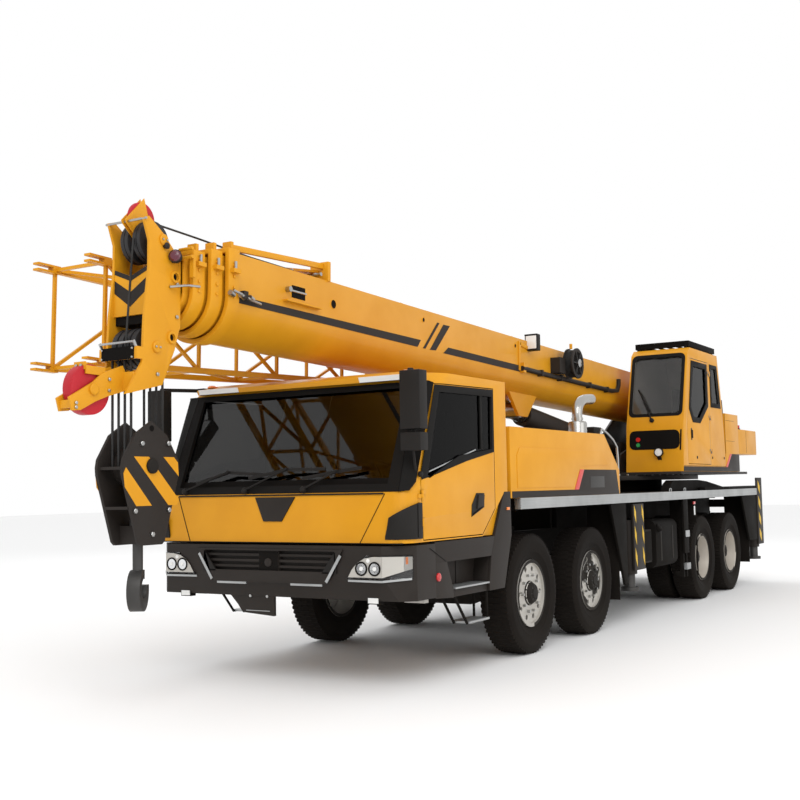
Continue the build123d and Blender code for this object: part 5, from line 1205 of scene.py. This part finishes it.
@dataclass
class CarrierBody:
    """The hood's panels, the exhaust, the deck's ribs and the gear under the deck."""

    side: float = 1.2505
    pipe_y: float = 1.05
    margin: float = 0.012
    band_rise: float = 0.09
    band_step: float = 0.24

    def hood(self) -> None:
        """Dark lower panels, red slanted stripe, blank plate, rails and top slats of the engine hood."""
        mesher = Mesher()
        y = self.side
        mesher.use(CHARCOAL).prism([(0.53, 1.412), (0.53, 1.47), (-0.985, 1.47), (-1.135, 1.668),
            (-2.035, 1.668), (-2.11, 1.412)], "Y", y, y + 0.002)
        mesher.use(STRIPE_RED).prism([(-0.88, 1.47), (-0.985, 1.47), (-1.135, 1.668), (-1.03, 1.668)], "Y",
            y, y + 0.003)
        mesher.use(FORGED).box((-1.68, y, 1.485), (-1.3, y + 0.003, 1.6))
        mesher.use(YELLOW).prism([(0.42, 1.5), (0.42, 1.79), (0.36, 1.86), (-1.62, 1.86), (-1.8, 1.72),
            (-1.02, 1.7), (-0.86, 1.5)], "Y", y - 0.002, y + 0.005)
        mesher.use(STEEL).tube([(-1.79, 1.18, 2.03), (-1.83, 1.18, 2.1), (-1.98, 1.18, 2.064),
            (-2.15, 1.18, 2.000), (-2.27, 1.18, 1.92), (-2.29, 1.18, 1.8), (-2.29, 1.18, 1.42)], 0.013, 10)
        mesher.use(IRON).box((-1.97, 0.98, 2.02), (-1.76, 1.12, 2.125))
        mesher.mirrored().done("hood_panels", "carrier", 0.001)
        top = Mesher().use(BLACK)
        for n in range(12):
            top.box((-0.3 - 0.07 * n, -0.55, 2.0405), (-0.265 - 0.07 * n, 0.55, 2.05))
        top.done("hood_top_louvres", "carrier", 0.001)

    def exhaust(self) -> None:
        """The upright silencer with its bent pipe."""
        pipe = Mesher().use(CHROME)
        y = self.pipe_y
        pipe.lathe((-1.49, y, 1.75), ALONG_Z, [(0, 0), (0.096, 0), (0.098, 0.4), (0.088, 0.42),
            (0.062, 0.426), (0, 0.426)], 40)
        bend = [(-1.49, y, 2.15), (-1.486, y, 2.24), (-1.497, y, 2.295), (-1.53, y, 2.345),
            (-1.585, y, 2.383), (-1.665, y, 2.408), (-1.78, y, 2.422), (-1.89, y, 2.43)]
        pipe.tube(bend, 0.054, 24)
        pipe.ring((-1.49, y, 2.2), ALONG_Z, [(0.054, -0.012), (0.06, -0.012), (0.06, 0.012),
            (0.054, 0.012)], 32)
        # The black disc in the pipe's mouth is soot and painted shade of the open end.
        pipe.use(BLACK).lathe((-1.8895, y, 2.43), (-0.99, 0, 0.07),
            [(0, 0), (0.047, 0), (0.047, 0.002), (0, 0.002)], 24)
        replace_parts(pipe.done("exhaust_pipe", "carrier"), "exhaust")

    def deck(self) -> None:
        """Ribs on the bright deck edge."""
        mesher = Mesher().use(ALUMINIUM)
        for z in (1.325, 1.345, 1.375, 1.395):
            mesher.box((-8.04, 1.2495, z - 0.004), (0.36, 1.254, z + 0.004))
        mesher.mirrored().done("deck_edge_ribs", "carrier")

    def gear(self) -> None:
        """Tank straps and cap, posts, flaps, boxes and hoses under the deck."""
        mesher = Mesher()
        for x in (-4.05, -3.62):
            mesher.use(IRON).box((x - 0.025, 1.189, 0.6), (x + 0.025, 1.194, 1.00))
            mesher.box((x - 0.025, 0.6, 1.0795), (x + 0.025, 1.1, 1.084))
        mesher.use(BLACK).lathe((-3.5, 1.189, 0.98), (0, 0.8, 0.6),
            [(0.05, -0.01), (0.05, 0.03), (0.042, 0.04), (0, 0.04)], 20)
        mesher.use(IRON).box((-3.36, 0.75, 0.6), (-3.02, 1.16, 0.98))
        mesher.use(BLACK).box((-3.35, 1.16, 0.62), (-3.03, 1.168, 0.96))
        mesher.use(IRON).lathe((-3.3, 0.62, 0.9), ALONG_X,
            [(0, 0), (0.1, 0), (0.12, 0.03), (0.12, 0.5), (0.1, 0.53), (0, 0.53)], 28)
        for x in (-4.44, -4.56):
            mesher.use(BLACK).box((x - 0.02, 1.16, 0.34), (x + 0.02, 1.205, 1.31))
        mesher.use(BLACK).box((-4.58, 1.1, 0.36), (-4.42, 1.16, 0.42))
        for z in (0.477, 0.88):
            mesher.use(ALUMINIUM).box((-4.575, 1.203, z - 0.04), (-4.425, 1.248, z + 0.04))
        for x, low in ((-2.145, 0.28), (-5.02, 0.32), (-7.62, 0.32)):
            mesher.use(RUBBER).box((x - 0.006, 0.86, low), (x + 0.006, 1.21, 1.3))
        mesher.mirrored().done("under_deck_gear", "carrier", 0.002)
        tail = Mesher()
        for y in (0.72, 0.83, 0.92):
            finish = RED_LENS if y < 0.9 else AMBER
            tail.use(finish).box((-8.4003, y - 0.045, 1.135), (-8.398, y + 0.045, 1.225))
        tail.use(CHARCOAL).frame([(-8.4, 0.66, 1.128), (-8.4, 0.98, 1.128), (-8.4, 0.98, 1.234),
            (-8.4, 0.66, 1.234)],
                                 [(-8.4, 0.674, 1.134), (-8.4, 0.966, 1.134), (-8.4, 0.966, 1.227),
                                     (-8.4, 0.674, 1.227)], (-0.0002, 0, 0))
        tail.mirrored().done("tail_lamps", "carrier", 0.001)

    def stripes(self) -> None:
        """Yellow and dark warning bands on the outriggers' covers."""
        strips = (("front", -2.865, -2.79, 0.56, 1.29), ("front", -2.62, -2.545, 0.56, 1.29),
            ("rear", -8.24, -8.11, 0.56, 1.57))
        for number, (place, low_x, high_x, low, high) in enumerate(strips):
            for side, sign in SIDES:
                mesher = Mesher(CARRIER_FRAME @ Matrix.Scale(sign, 4, ALONG_Y)).use(SIGN_YELLOW)
                left, right = low_x + self.margin, high_x - self.margin
                z = low - 0.2
                while z < high:
                    far = z + self.band_rise
                    band = [(left, z), (right, far), (right, far + self.band_step / 2),
                        (left, z + self.band_step / 2)]
                    inside = [(x, min(max(h, low + self.margin), high - self.margin)) for x, h in band]
                    if inside[2][1] - inside[1][1] > 0.01 and inside[3][1] - inside[0][1] > 0.01:
                        mesher.prism(inside, "Y", 1.2503, 1.2518)
                    z += self.band_step
                mesher.done(f"outrigger_bands_{number}_{side}", f"beam_{place}_{side}")

    def build(self) -> None:
        """Build every group on the carrier's body."""
        self.hood()
        self.exhaust()
        self.deck()
        self.gear()
        self.stripes()


@dataclass
class CraneCab:
    """Seals, lamps, panels and the roof guard's rim of the crane operator's cab."""

    left: float = 1.25
    wiper_foot: tuple[float, float] = (0.84, 2.315)

    @staticmethod
    def upper(y: float, z: float, lift: float = 0) -> tuple[float, float, float]:
        """A point on the slanting screen wall, lifted along its normal."""
        return (-4.48 - 0.2979 * (z - 2.25) + 0.958 * lift, y, z + 0.285 * lift)

    @staticmethod
    def lower(y: float, z: float, lift: float = 0) -> tuple[float, float, float]:
        """A point on the front wall below the screen, lifted along its normal."""
        return (-4.42 - 0.1017 * (z - 1.66) + 0.995 * lift, y, z + 0.101 * lift)

    @staticmethod
    def rounded(low: Point, high: Point, radius: float) -> list[Point]:
        """A rectangle's outline with rounded corners, from two corners."""
        points = []
        corners = ((high[0], high[1], 0), (low[0], high[1], 90), (low[0], low[1], 180),
            (high[0], low[1], 270))
        for y, z, start in corners:
            across = y + (radius if y == low[0] else -radius)
            level = z + (radius if z == low[1] else -radius)
            for n in range(5):
                turn = math.radians(start + 22.5 * n)
                points.append((across + radius * math.cos(turn), level + radius * math.sin(turn)))
        return points

    def front(self) -> None:
        """The screen's seal, the dark low panel with its lamps, the wiper and the work lamp."""
        mesher = Mesher().use(SEAL)
        outer = self.rounded((0.52, 2.365), (1.228, 3.192), 0.07)
        inner = self.rounded((0.564, 2.406), (1.186, 3.146), 0.05)
        mesher.frame([self.upper(y, z, -0.001) for y, z in outer],
            [self.upper(y, z, -0.001) for y, z in inner], (0.007, 0, 0.002))
        mesher.use(BLACK).plate([self.lower(y, z, -0.001)
            for y, z in self.rounded((0.545, 1.945), (1.2, 2.188), 0.07)], (0.008, 0, 0.001))
        mesher.use(SEAL).bar(self.lower(1.218, 2.19, 0.002), self.lower(1.21, 1.93, 0.002), 0.018, 0.008)
        bend = [(self.lower(0, 2.184, 0.004)[0], 2.184), (-4.476, 2.25),
            (self.upper(0, 2.365, 0.004)[0], 2.366),
                (self.upper(0, 2.365, -0.004)[0], 2.364), (-4.484, 2.25), (self.lower(0, 2.184, -0.004)[0],
                    2.184)]
        mesher.use(YELLOW).prism(bend, "Y", 0.53, 1.212)
        mesher.use(RED_LENS).lathe(self.lower(0.66, 2.075, 0.006), ALONG_X,
            [(0.03, 0), (0.028, 0.012), (0, 0.014)], 20)
        mesher.use(GREEN_LENS).lathe(self.lower(0.66, 2.005, 0.006), ALONG_X,
            [(0.026, 0), (0.024, 0.012), (0, 0.014)], 20)
        x, y, z = self.lower(0.945, 1.905)
        mesher.use(PLASTIC).lathe((x - 0.002, y, z), ALONG_X,
            [(0.03, 0), (0.03, 0.02), (0.056, 0.03), (0.058, 0.075), (0.052, 0.075), (0.05, 0.055),
            (0, 0.055)], 28)
        mesher.bar((x, y, z - 0.1), (x + 0.045, y, z - 0.05), 0.05, 0.012)
        mesher.use(WHITE).lathe((x + 0.055, y, z), ALONG_X, [(0.049, 0), (0.046, 0.012), (0, 0.016)], 28)
        mesher.use(PLASTIC).lathe(self.upper(*self.wiper_foot, 0), (0.958, 0, 0.285),
            [(0.028, 0), (0.028, 0.03), (0.015, 0.04), (0, 0.04)], 16)
        mesher.bar(self.upper(*self.wiper_foot, 0.034), self.upper(0.72, 2.56, 0.034), 0.016, 0.01)
        mesher.bar(self.upper(0.8, 2.43, 0.022), self.upper(0.64, 2.72, 0.022), 0.01, 0.02)
        mesher.done("crane_cab_front_trim", "turntable")

    def sides(self) -> None:
        """The dark band, red slanted stripe, seams, rear window's seal and the roof guard's rim."""
        mesher = Mesher()
        y = self.left
        mesher.use(CHARCOAL).prism([(-4.424, 1.662), (-4.43, 1.722), (-6.46, 1.722), (-6.7, 1.91),
            (-7.102, 1.91), (-7.102, 1.662)], "Y", y - 0.002, y + 0.003)
        mesher.use(STRIPE_RED).prism([(-6.37, 1.722), (-6.46, 1.722), (-6.7, 1.91), (-6.61, 1.91)], "Y",
            y - 0.001, y + 0.0035)
        mesher.use(SEAL).box((-6.4, y - 0.001, 1.728), (-4.44, y + 0.002, 1.733))
        for z in (2.09, 2.38):
            mesher.box((-6.88, y - 0.001, z), (-6.44, y + 0.0015, z + 0.004))
        mesher.box((-6.404, y - 0.001, 1.912), (-6.398, y + 0.0015, 2.478))
        outer = [(-6.212, 2.532), (-5.722, 2.528), (-5.722, 3.116), (-6.078, 3.116)]
        inner = [(-6.15, 2.596), (-5.79, 2.592), (-5.79, 3.062), (-6.048, 3.062)]
        mesher.side_frame(outer, inner, y - 0.001, 0.006)
        mesher.use(PLASTIC).bar((-6.36, 1.215, 2.475), (-6.322, 1.215, 2.66), 0.05, 0.03)
        mesher.box((-6.99, 0.86, 2.478), (-6.5, 1.19, 2.488))
        for x in (-6.3, -5.72):
            mesher.box((x - 0.012, y - 0.001, 1.83), (x + 0.012, y + 0.006, 1.86))
        mesher.done("crane_cab_side_trim", "turntable", 0.001)
        rim = Mesher().use(BLACK)
        low, high = 3.287, 3.362
        rim.box((-4.925, 0.515, low), (-4.885, 1.235, high)).box((-6.075, 0.515, low), (-6.035, 1.235, high))
        rim.box((-6.036, 1.195, low), (-4.924, 1.235, high)).box((-6.036, 0.515, low), (-4.924, 0.555, high))
        rim.done("roof_guard_rim", "turntable", 0.004)

    def door(self) -> None:
        """The door window's seal, the handle and the locks."""
        mesher = Mesher().use(SEAL)
        y = self.left
        outer = [(-5.602, 2.53), (-5.21, 2.292), (-4.885, 2.292), (-4.732, 2.462), (-4.888, 3.1),
            (-5.602, 3.1)]
        inner = [(-5.525, 2.582), (-5.185, 2.362), (-4.935, 2.362), (-4.812, 2.492), (-4.98, 3.028),
            (-5.515, 3.028)]
        mesher.side_frame(outer, inner, y - 0.001, 0.006)
        mesher.use(PLASTIC).box((-4.826, y - 0.001, 2.062), (-4.786, y + 0.004, 2.214))
        mesher.use(CHARCOAL).box((-4.816, y + 0.003, 2.085), (-4.798, y + 0.02, 2.19))
        mesher.use(SEAL).lathe((-5.02, y - 0.001, 1.84), ALONG_Y, [(0.02, 0), (0.02, 0.006), (0, 0.007)], 16)
        mesher.done("crane_door_trim", "crane_door", 0.001)

    def build(self) -> None:
        """Build every group of the crane cab's trim."""
        self.front()
        self.sides()
        self.door()


@dataclass
class Turntable:
    """Windings on the winches, ring bolts, counterweight eyes and the gear on the deck."""

    slew_x: float = -5.3
    drums: tuple[float, float] = (-7.35, -7.8)
    drum_z: float = 2.13
    bolt_circle: float = 1.06
    table_top: float = 1.622

    def winches(self) -> None:
        """Windings, flange bolts and motors of both winches."""
        mesher = Mesher()
        for x in self.drums:
            profile = [(0.1295, -0.29)]
            for n in range(24):
                start = -0.288 + 0.024 * n
                profile += [(0.138, start + 0.004), (0.148, start + 0.012), (0.138, start + 0.02)]
            profile.append((0.1295, 0.29))
            mesher.use(ROPE).ring((x, 0, self.drum_z), ALONG_Y, profile, 40)
            for sign in (-1, 1):
                turns = [n * math.pi / 4 for n in range(8)]
                heads = [(x + 0.085 * math.cos(t), sign * 0.31,
                    self.drum_z + 0.085 * math.sin(t)) for t in turns]
                mesher.use(STEEL).bolts(heads, (0, sign, 0), 0.012, 0.01)
        mesher.done("winch_ropes", "turntable")

    def fasteners(self) -> None:
        """Bolts round the table, the counterweight's eyes and bolts, and the lamp on it."""
        mesher = Mesher()
        bolts = STUDS.mesh(STEEL, 60, self.bolt_circle, (0.03, 0.03, 0.022), 6)
        mesher.use(STEEL).add(bolts, Matrix.Translation((self.slew_x, 0, self.table_top + 0.008)))
        for y in (-0.8, 0.8):
            mesher.use(CHARCOAL).ring((-7.7, y, 2.3), ALONG_Y,
                [(0.028, -0.012), (0.052, -0.012), (0.052, 0.012), (0.028, 0.012)], 24)
            mesher.use(STEEL).bolts([(-7.3, y, 2.284), (-8.05, y, 2.284)], (0, 0, 1), 0.022, 0.014)
        mesher.use(SEAL).box((-7.62, 1.2285, 1.94), (-7.614, 1.2315, 2.27))
        mesher.use(PLASTIC).box((-7.34, 1.17, 2.283), (-7.29, 1.22, 2.3))
        mesher.use(RED_LENS).box((-7.335, 1.175, 2.3), (-7.295, 1.215, 2.345))
        mesher.done("turntable_fasteners", "turntable")

    def deck_gear(self) -> None:
        """The raised dark strips, tie-down rings and lamps along the deck."""
        mesher = Mesher().use(BLACK)
        mesher.box((-8.04, 1.14, 1.409), (-5.36, 1.236, 1.45))
        hump = [(-4.2, 1.409), (-4.26, 1.5), (-4.4, 1.55), (-5.4, 1.55), (-5.8, 1.53), (-6.2, 1.49),
            (-6.6, 1.449), (-6.6, 1.409)]
        mesher.prism(hump, "Y", 1.02, 1.13)
        mesher.use(ALUMINIUM)
        for x in (-3.972, -4.543):
            mesher.tube([(x - 0.034, 1.215, 1.408), (x - 0.036, 1.215, 1.436), (x - 0.024, 1.215, 1.447),
                (x + 0.024, 1.215, 1.447), (x + 0.036, 1.215, 1.436), (x + 0.034, 1.215, 1.408)], 0.006, 8)
        for x in (-2.2, -4.878, -7.331):
            mesher.use(RED_LENS).box((x - 0.04, 1.222, 1.238), (x + 0.04, 1.232, 1.272))
        mesher.use(WHITE).box((-4.905, 1.222, 1.1), (-4.87, 1.23, 1.215))
        mesher.mirrored().done("deck_gear", "carrier", 0.001)

    def build(self) -> None:
        """Build every group on and round the turntable."""
        self.winches()
        self.fasteners()
        self.deck_gear()


@dataclass
class Studio:
    """Floor, lights and the camera."""

    eye: tuple[float, float, float] = (9.34433, 5.49524, 1.52383)
    ahead: tuple[float, float, float] = (-0.85126909, -0.51885206, 0.07831646)
    right: tuple[float, float, float] = (-0.52161726, 0.85297318, -0.0187669)
    up: tuple[float, float, float] = (0.0570646, 0.0568269, 0.99675189)
    focal_px: float = 1111.75
    image_px: float = 800.0
    sensor_mm: float = 36.0
    floor_half: float = 60.0

    def camera(self) -> None:
        """Set the camera where the photograph was taken from."""
        data = bpy.data.cameras.new("camera")
        data.sensor_width = self.sensor_mm
        data.sensor_fit = "HORIZONTAL"
        data.lens = self.focal_px * self.sensor_mm / self.image_px
        data.clip_end = 200
        camera = link_object("camera", data)
        axes = Matrix((self.right, self.up, [-a for a in self.ahead])).transposed().to_4x4()
        camera.matrix_world = Matrix.Translation((self.eye[0] + AXLE_X, self.eye[1], self.eye[2])) @ axes
        bpy.context.scene.camera = camera

    def _area(self, name: str, place: Point, target: Point, size: float, power: float) -> None:
        """A square area light that looks at a point."""
        data = bpy.data.lights.new(name, "AREA")
        data.size = size
        data.energy = power
        look = (Vector(target) - Vector(place)).to_track_quat("-Z", "Y")
        link_object(name, data).matrix_world = Matrix.Translation(place) @ look.to_matrix().to_4x4()

    def light(self) -> None:
        """A soft key beside the camera, a fill and a rim, in a pale room."""
        self._area("key", (14, 9, 13), (0, 0, 1.2), 9.0, 1100)
        self._area("fill", (2, 16, 6), (0, 0, 1.5), 10.0, 350)
        self._area("rim", (-12, -8, 9), (0, 0, 2.0), 8.0, 400)
        world = bpy.data.worlds.new("room")
        world.use_nodes = True
        back = world.node_tree.nodes["Background"]
        back.inputs["Color"].default_value = (1.0, 1.0, 1.0, 1.0)
        back.inputs["Strength"].default_value = 1.0
        bpy.context.scene.world = world
        bpy.context.scene.view_settings.view_transform = "Standard"

    def floor(self) -> None:
        """A wide pale floor."""
        half = self.floor_half
        corners = [(-half, -half, 0), (half, -half, 0), (half, half, 0), (-half, half, 0)]
        data = bpy.data.meshes.new("floor")
        data.from_pydata(corners, [], [(0, 1, 2, 3)])
        made = bpy.data.materials.new("floor_pale")
        made.use_nodes = True
        shader = made.node_tree.nodes["Principled BSDF"]
        shader.inputs["Base Color"].default_value = (0.9, 0.9, 0.9, 1)
        shader.inputs["Roughness"].default_value = 0.8
        data.materials.append(made)
        link_object("floor", data)


PLAIN_NODES: dict[Finish, tuple[tuple[str, float], ...]] = {
    YELLOW: (
        ("engine_hood", 0.008), ("counterweight", 0.012), ("boom_base", 0.003), ("boom_section_2", 0.003),
        ("boom_section_3", 0.003), ("boom_section_4", 0.002), ("fly_jib", 0.0),
    ),
    CHARCOAL: (("bumper", 0.004), ("luff_barrel", 0.003), ("hook_block", 0.003)),
    BLACK: (("chassis_frame", 0.003), ("deck_plates", 0.0), ("side_tanks", 0.004), ("winches", 0.003),
        ("engine_block", 0.01)),
    ALUMINIUM: (("deck_edges", 0.003),),
    IRON: (("axles", 0.002),),
    PLASTIC: (("crane_cab_inside", 0.02),),
    CLOTH: (("cab_inside", 0.01),),
    STEEL: (("luff_rod", 0.002),),
    ROPE: (("hoist_falls", 0.0),),
    FORGED: (("hook", 0.004),),
    WINDOW: (("windscreen", 0.0),),
    SIDE_WINDOW: (("door_glass_left", 0.0), ("door_glass_right", 0.0), ("crane_door_glass", 0.0)),
    LENS: (("head_lamps", 0.004),),
}


def lining(centre: Point, floor: float, roof: float) -> Rule:
    """Number a cab's faces by which way they look.

    Args:
        centre: the cab's middle in the carrier's frame.
        floor: faces below this height count as outside.
        roof: faces above this height are the roof's own gear.

    Returns:
        A rule that gives 1 for the inside, 2 for the roof's gear and 0 for the rest.
    """
    origin = CARRIER_FRAME @ Vector(centre)

    def number(middle: Vector, normal: Vector) -> int:
        """The number of one face."""
        if middle.z > roof:
            return 2
        return 1 if middle.z > floor and normal.dot(middle - origin) < 0 else 0

    return number


def dress_solids() -> None:
    """Give each node that keeps its shape its finish."""
    cab = lining((1.4, 0.0, 1.95), 1.12, 9.0)
    for node, bevel in (("cab_shell", 0.014), ("cab_door_left", 0.003), ("cab_door_right", 0.003)):
        dress_node(node, YELLOW, bevel, others=(PLASTIC,), paint=cab)
    crane_cab = lining((-5.4, 0.875, 2.6), 1.70, 3.28)
    for node, bevel in (("crane_cab_shell", 0.006), ("crane_cab_door", 0.003)):
        dress_node(node, YELLOW, bevel, others=(LINING, BLACK), paint=crane_cab)
    dress_node("crane_cab_glass", CLEAR_WINDOW, 0.0, choose=lambda low, high: 1 if low.y > 1.1 else 0,
        others=(SIDE_WINDOW,))
    dress_node("slewing_frame", CHARCOAL, 0.004, choose=lambda low, high: 1 if low.y > 0.7 else 0,
        others=(YELLOW,))
    dress_node("fenders", BLACK, 0.003,
        choose=lambda low, high: -1 if low.x > AXLE_X + 0.5 and high.z < 1.5 and low.z < 0.7 else 0)
    for finish, nodes in PLAIN_NODES.items():
        for node, bevel in nodes:
            dress_node(node, finish, bevel)
    for side in ("left", "right"):
        for number in (1, 2):
            dress_node(f"knuckle_{number}_{side}", IRON, 0.003)
        for place in ("front", "rear"):
            dress_node(f"outrigger_beam_{place}_{side}", CHARCOAL, 0.003)
            dress_node(f"jack_{place}_{side}", FORGED, 0.002)


def main() -> None:
    """Build the scene in order."""
    logging.basicConfig(level=logging.INFO, format="%(name)s %(message)s")
    studio = Studio()
    studio.camera()
    studio.light()
    studio.floor()
    dress_solids()
    for side in ("left", "right"):
        for number in (1, 2, 3, 4):
            Wheel(number, side).build()
    for group in (BoomHead(), BoomPaint(), HookBlock(), CarrierCab(), Bumper(), CarrierBody(), CraneCab(),
            Turntable()):
        group.build()


if __name__ == "__main__":
    main()
